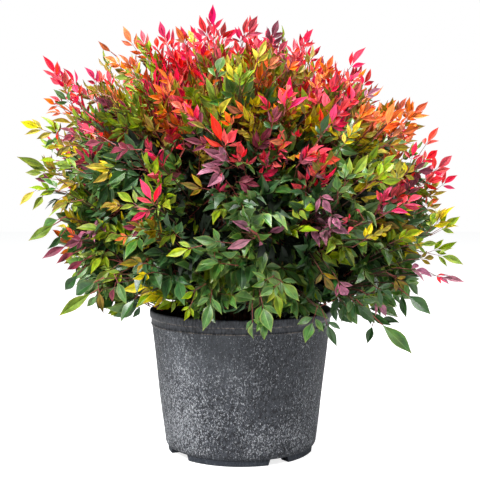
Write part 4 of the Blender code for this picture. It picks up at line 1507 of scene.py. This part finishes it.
def mix_mesh(look):
    """The mix's lumpy top, closed below; the chips of bark that lie on it are made in chip_mesh."""
    local = np.random.default_rng(SEED + 5)
    rings, around = 40, 120
    radius = np.linspace(0.0, 1.0, rings) * (wall_at(MIX_TOP - 0.012) - 0.0034)
    angle = np.arange(around) * math.tau / around
    x = radius[:, None] * np.cos(angle)[None]
    y = radius[:, None] * np.sin(angle)[None]
    z = np.full_like(x, MIX_TOP - 0.0045)
    for _ in range(26):
        fx, fy = local.normal(0, 90, 2)
        z += 0.0009 * np.sin(fx * x + fy * y + local.uniform(0, math.tau))
    z[0] = z[0].mean()
    z = np.minimum(z, MIX_TOP - 0.0012)
    points = [np.stack([x, y, z], 2).reshape(-1, 3)]
    rim = rings - 1
    skirt = np.stack([x[rim] * 0.985, y[rim] * 0.985, np.full(around, MIX_TOP - 0.03)], 1)
    points.append(skirt)
    points.append(np.array([[0, 0, MIX_TOP - 0.03]]))
    faces = []
    i = np.arange(around)
    j = (i + 1) % around
    for k in range(rings - 1):
        a, b = k * around, (k + 1) * around
        if k:
            faces.append(np.stack([a + i, b + i, b + j], 1))
            faces.append(np.stack([a + i, b + j, a + j], 1))
        else:
            faces.append(np.stack([a + i, b + i, b + j], 1))
    a, b = rim * around, rings * around
    faces.append(np.stack([a + i, b + i, b + j], 1))
    faces.append(np.stack([a + i, b + j, a + j], 1))
    faces.append(np.stack([b + i, np.full(around, b + around), b + j], 1))
    return mesh_object("mix_surface", np.concatenate(points), np.concatenate(faces), None, look)


def chip_mesh(look):
    local = np.random.default_rng(SEED + 6)
    count = 1500
    reach = (wall_at(MIX_TOP - 0.012) - 0.010) * np.sqrt(local.uniform(0, 1, count))
    turn = local.uniform(0, math.tau, count)
    centre = np.stack([reach * np.cos(turn), reach * np.sin(turn), MIX_TOP - 0.0035 + local.uniform(-0.001, 0.0022, count)], 1)
    size = np.stack([local.uniform(0.003, 0.010, count), local.uniform(0.002, 0.005, count), local.uniform(0.0008, 0.0022, count)], 1)
    corners = np.array([(sx, sy, sz) for sx in (-1, 1) for sy in (-1, 1) for sz in (-1, 1)], float)
    shape = corners[None] * size[:, None] / 2 * local.uniform(0.65, 1.1, (count, 8, 1))
    yaw, tilt = local.uniform(0, math.tau, count), local.normal(0, 0.30, count)
    c, s = np.cos(tilt)[:, None], np.sin(tilt)[:, None]
    x, z = shape[..., 0] * c + shape[..., 2] * s, -shape[..., 0] * s + shape[..., 2] * c
    c, s = np.cos(yaw)[:, None], np.sin(yaw)[:, None]
    x, y = x * c - shape[..., 1] * s, x * s + shape[..., 1] * c
    points = np.stack([x, y, z], 2) + centre[:, None]
    box = np.array([(0, 1, 3), (0, 3, 2), (4, 6, 7), (4, 7, 5), (0, 4, 5), (0, 5, 1), (2, 3, 7), (2, 7, 6), (0, 2, 6), (0, 6, 4), (1, 5, 7), (1, 7, 3)])
    faces = (box[None] + (np.arange(count) * 8)[:, None, None]).reshape(-1, 3)
    return mesh_object("bark_chips", points.reshape(-1, 3), faces, None, look, smooth=False)


# ---- put it together ------------------------------------------------------------------

print("leaflets", leaflets.count(), "sprays", len(sprays), "outer", outer_count)
total = 0
placed = []
for tint, (blade, margin, vein, roughness, _) in TINTS.items():
    if not any((tint, fine) in leaflets.rows for fine in range(len(SHAPES))):
        continue
    look = leaf_look("leaf_" + tint, linear(*blade), linear(*margin), linear(*vein), roughness)
    for piece in leaflets.build(tint, look):
        placed.append(piece)
        total += len(piece.data.polygons)
        print(piece.name, len(piece.data.polygons))
stalk_piece = stalks.build("leaf_stalks", stalk_look("leaf_stalk", linear(150, 66, 58), linear(116, 46, 40)))
twig_piece = twigs.build("twigs", stalk_look("twig_bark", linear(96, 56, 40), linear(64, 36, 28)))
bark = bark_look("cane_bark")
cane_piece = limb_mesh(CANES, "cane_bark", bark, 22, 0.024)
bough_piece = limb_mesh(BOUGHS, "bough_bark", bark, 14, 0.018)
pot_piece = pot_mesh(pot_look("pot_plastic"))
mix_look_made = mix_look("potting_mix")
mix_piece = mix_mesh(mix_look_made)
chips = chip_mesh(mix_look_made)
for piece in (*placed, stalk_piece, twig_piece, cane_piece, bough_piece, pot_piece, mix_piece, chips):
    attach(piece, "root")
for piece in placed[:1]:
    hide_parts(*FOLIAGE)
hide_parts(*CANES)
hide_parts(*BOUGHS)
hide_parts("pot")
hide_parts("potting_mix")
for piece, slot in (
    (stalk_piece, "cane_bark"),
    (twig_piece, "cane_bark"),
    (cane_piece, "cane_bark"),
    (bough_piece, "cane_bark"),
    (pot_piece, "pot_plastic"),
    (mix_piece, "potting_mix"),
    (chips, "potting_mix"),
):
    total += len(piece.data.polygons)
    print(piece.name, len(piece.data.polygons))
print("triangles in all", total)

# ---- stage, light and camera ----------------------------------------------------------


def paper_look(name):
    """Plain pale paper. It shows lighter than the light that it gives back to the plant."""
    n = Nodes(name)
    where = n.add("ShaderNodeTexCoord").outputs["Object"]
    grain = n.noise(where, 3.0, 2.0).outputs[0]
    n.link(n.mix(grain, (0.60, 0.60, 0.60), (0.58, 0.58, 0.58)), n.shader.inputs["Base Color"])
    n.shader.inputs["Roughness"].default_value = 0.95
    n.shader.inputs["Specular IOR Level"].default_value = 0.0
    glow = n.add("ShaderNodeEmission")
    glow.inputs["Strength"].default_value = 0.80
    seen = n.add("ShaderNodeLightPath")
    sheet = n.add("ShaderNodeAddShader")
    n.link(n.shader.outputs[0], sheet.inputs[0])
    n.link(glow.outputs[0], sheet.inputs[1])
    both = n.add("ShaderNodeMixShader")
    n.link(seen.outputs["Is Camera Ray"], both.inputs[0])
    n.link(n.shader.outputs[0], both.inputs[1])
    n.link(sheet.outputs[0], both.inputs[2])
    n.link(both.outputs[0], n.tree.nodes["Material Output"].inputs[0])
    return n.material


def make_floor():
    side = 9.0
    points = np.array([(-side, -side, 0), (side, -side, 0), (side, side, 0), (-side, side, 0)], float)
    points[:, 2] = -0.0004
    faces = np.array([(0, 1, 2), (0, 2, 3)])
    mesh_object("floor", points, faces, None, paper_look("floor_paper"), False)


def area_light(name, at, aim, size, power, colour=(1, 1, 1)):
    data = bpy.data.lights.new(name, "AREA")
    data.shape, data.size, data.energy, data.color = "DISK", size, power, colour
    obj = bpy.data.objects.new(name, data)
    bpy.context.scene.collection.objects.link(obj)
    obj.location = at
    obj.rotation_mode = "QUATERNION"
    obj.rotation_quaternion = (Vector(aim) - Vector(at)).to_track_quat("-Z", "Y")
    return obj


make_floor()
area_light("key", (-1.7, -1.9, 2.5), (0, 0, 0.45), 0.8, 152)
area_light("top", (0.3, 0.2, 2.8), (0, 0, 0.5), 1.1, 104)
area_light("right", (2.0, -1.0, 2.4), (0, 0, 0.70), 1.0, 44)

world = bpy.data.worlds.new("studio")
bpy.context.scene.world = world
world.use_nodes = True
tree = world.node_tree
room = tree.nodes["Background"]
room.inputs[0].default_value = (0.96, 0.98, 1.0, 1)
room.inputs[1].default_value = 0.27
paper = tree.nodes.new("ShaderNodeBackground")
paper.inputs[1].default_value = 1.0
paper.inputs[0].default_value = (1, 1, 1, 1)
path = tree.nodes.new("ShaderNodeLightPath")
both = tree.nodes.new("ShaderNodeMixShader")
tree.links.new(path.outputs["Is Camera Ray"], both.inputs[0])
tree.links.new(room.outputs[0], both.inputs[1])
tree.links.new(paper.outputs[0], both.inputs[2])
tree.links.new(both.outputs[0], tree.nodes["World Output"].inputs[0])

camera_data = bpy.data.cameras.new("camera")
camera_data.lens = FOCAL_PX / PICTURE_PX * 36.0
camera_data.sensor_width = 36.0
camera_data.clip_start, camera_data.clip_end = 0.05, 60.0
camera = bpy.data.objects.new("camera", camera_data)
bpy.context.scene.collection.objects.link(camera)
camera.location = CAMERA_AT
camera.rotation_euler = (math.pi / 2 - CAMERA_PITCH, 0, 0)
scene = bpy.context.scene
scene.camera = camera
scene.view_settings.view_transform = "Standard"
scene.view_settings.look = "None"
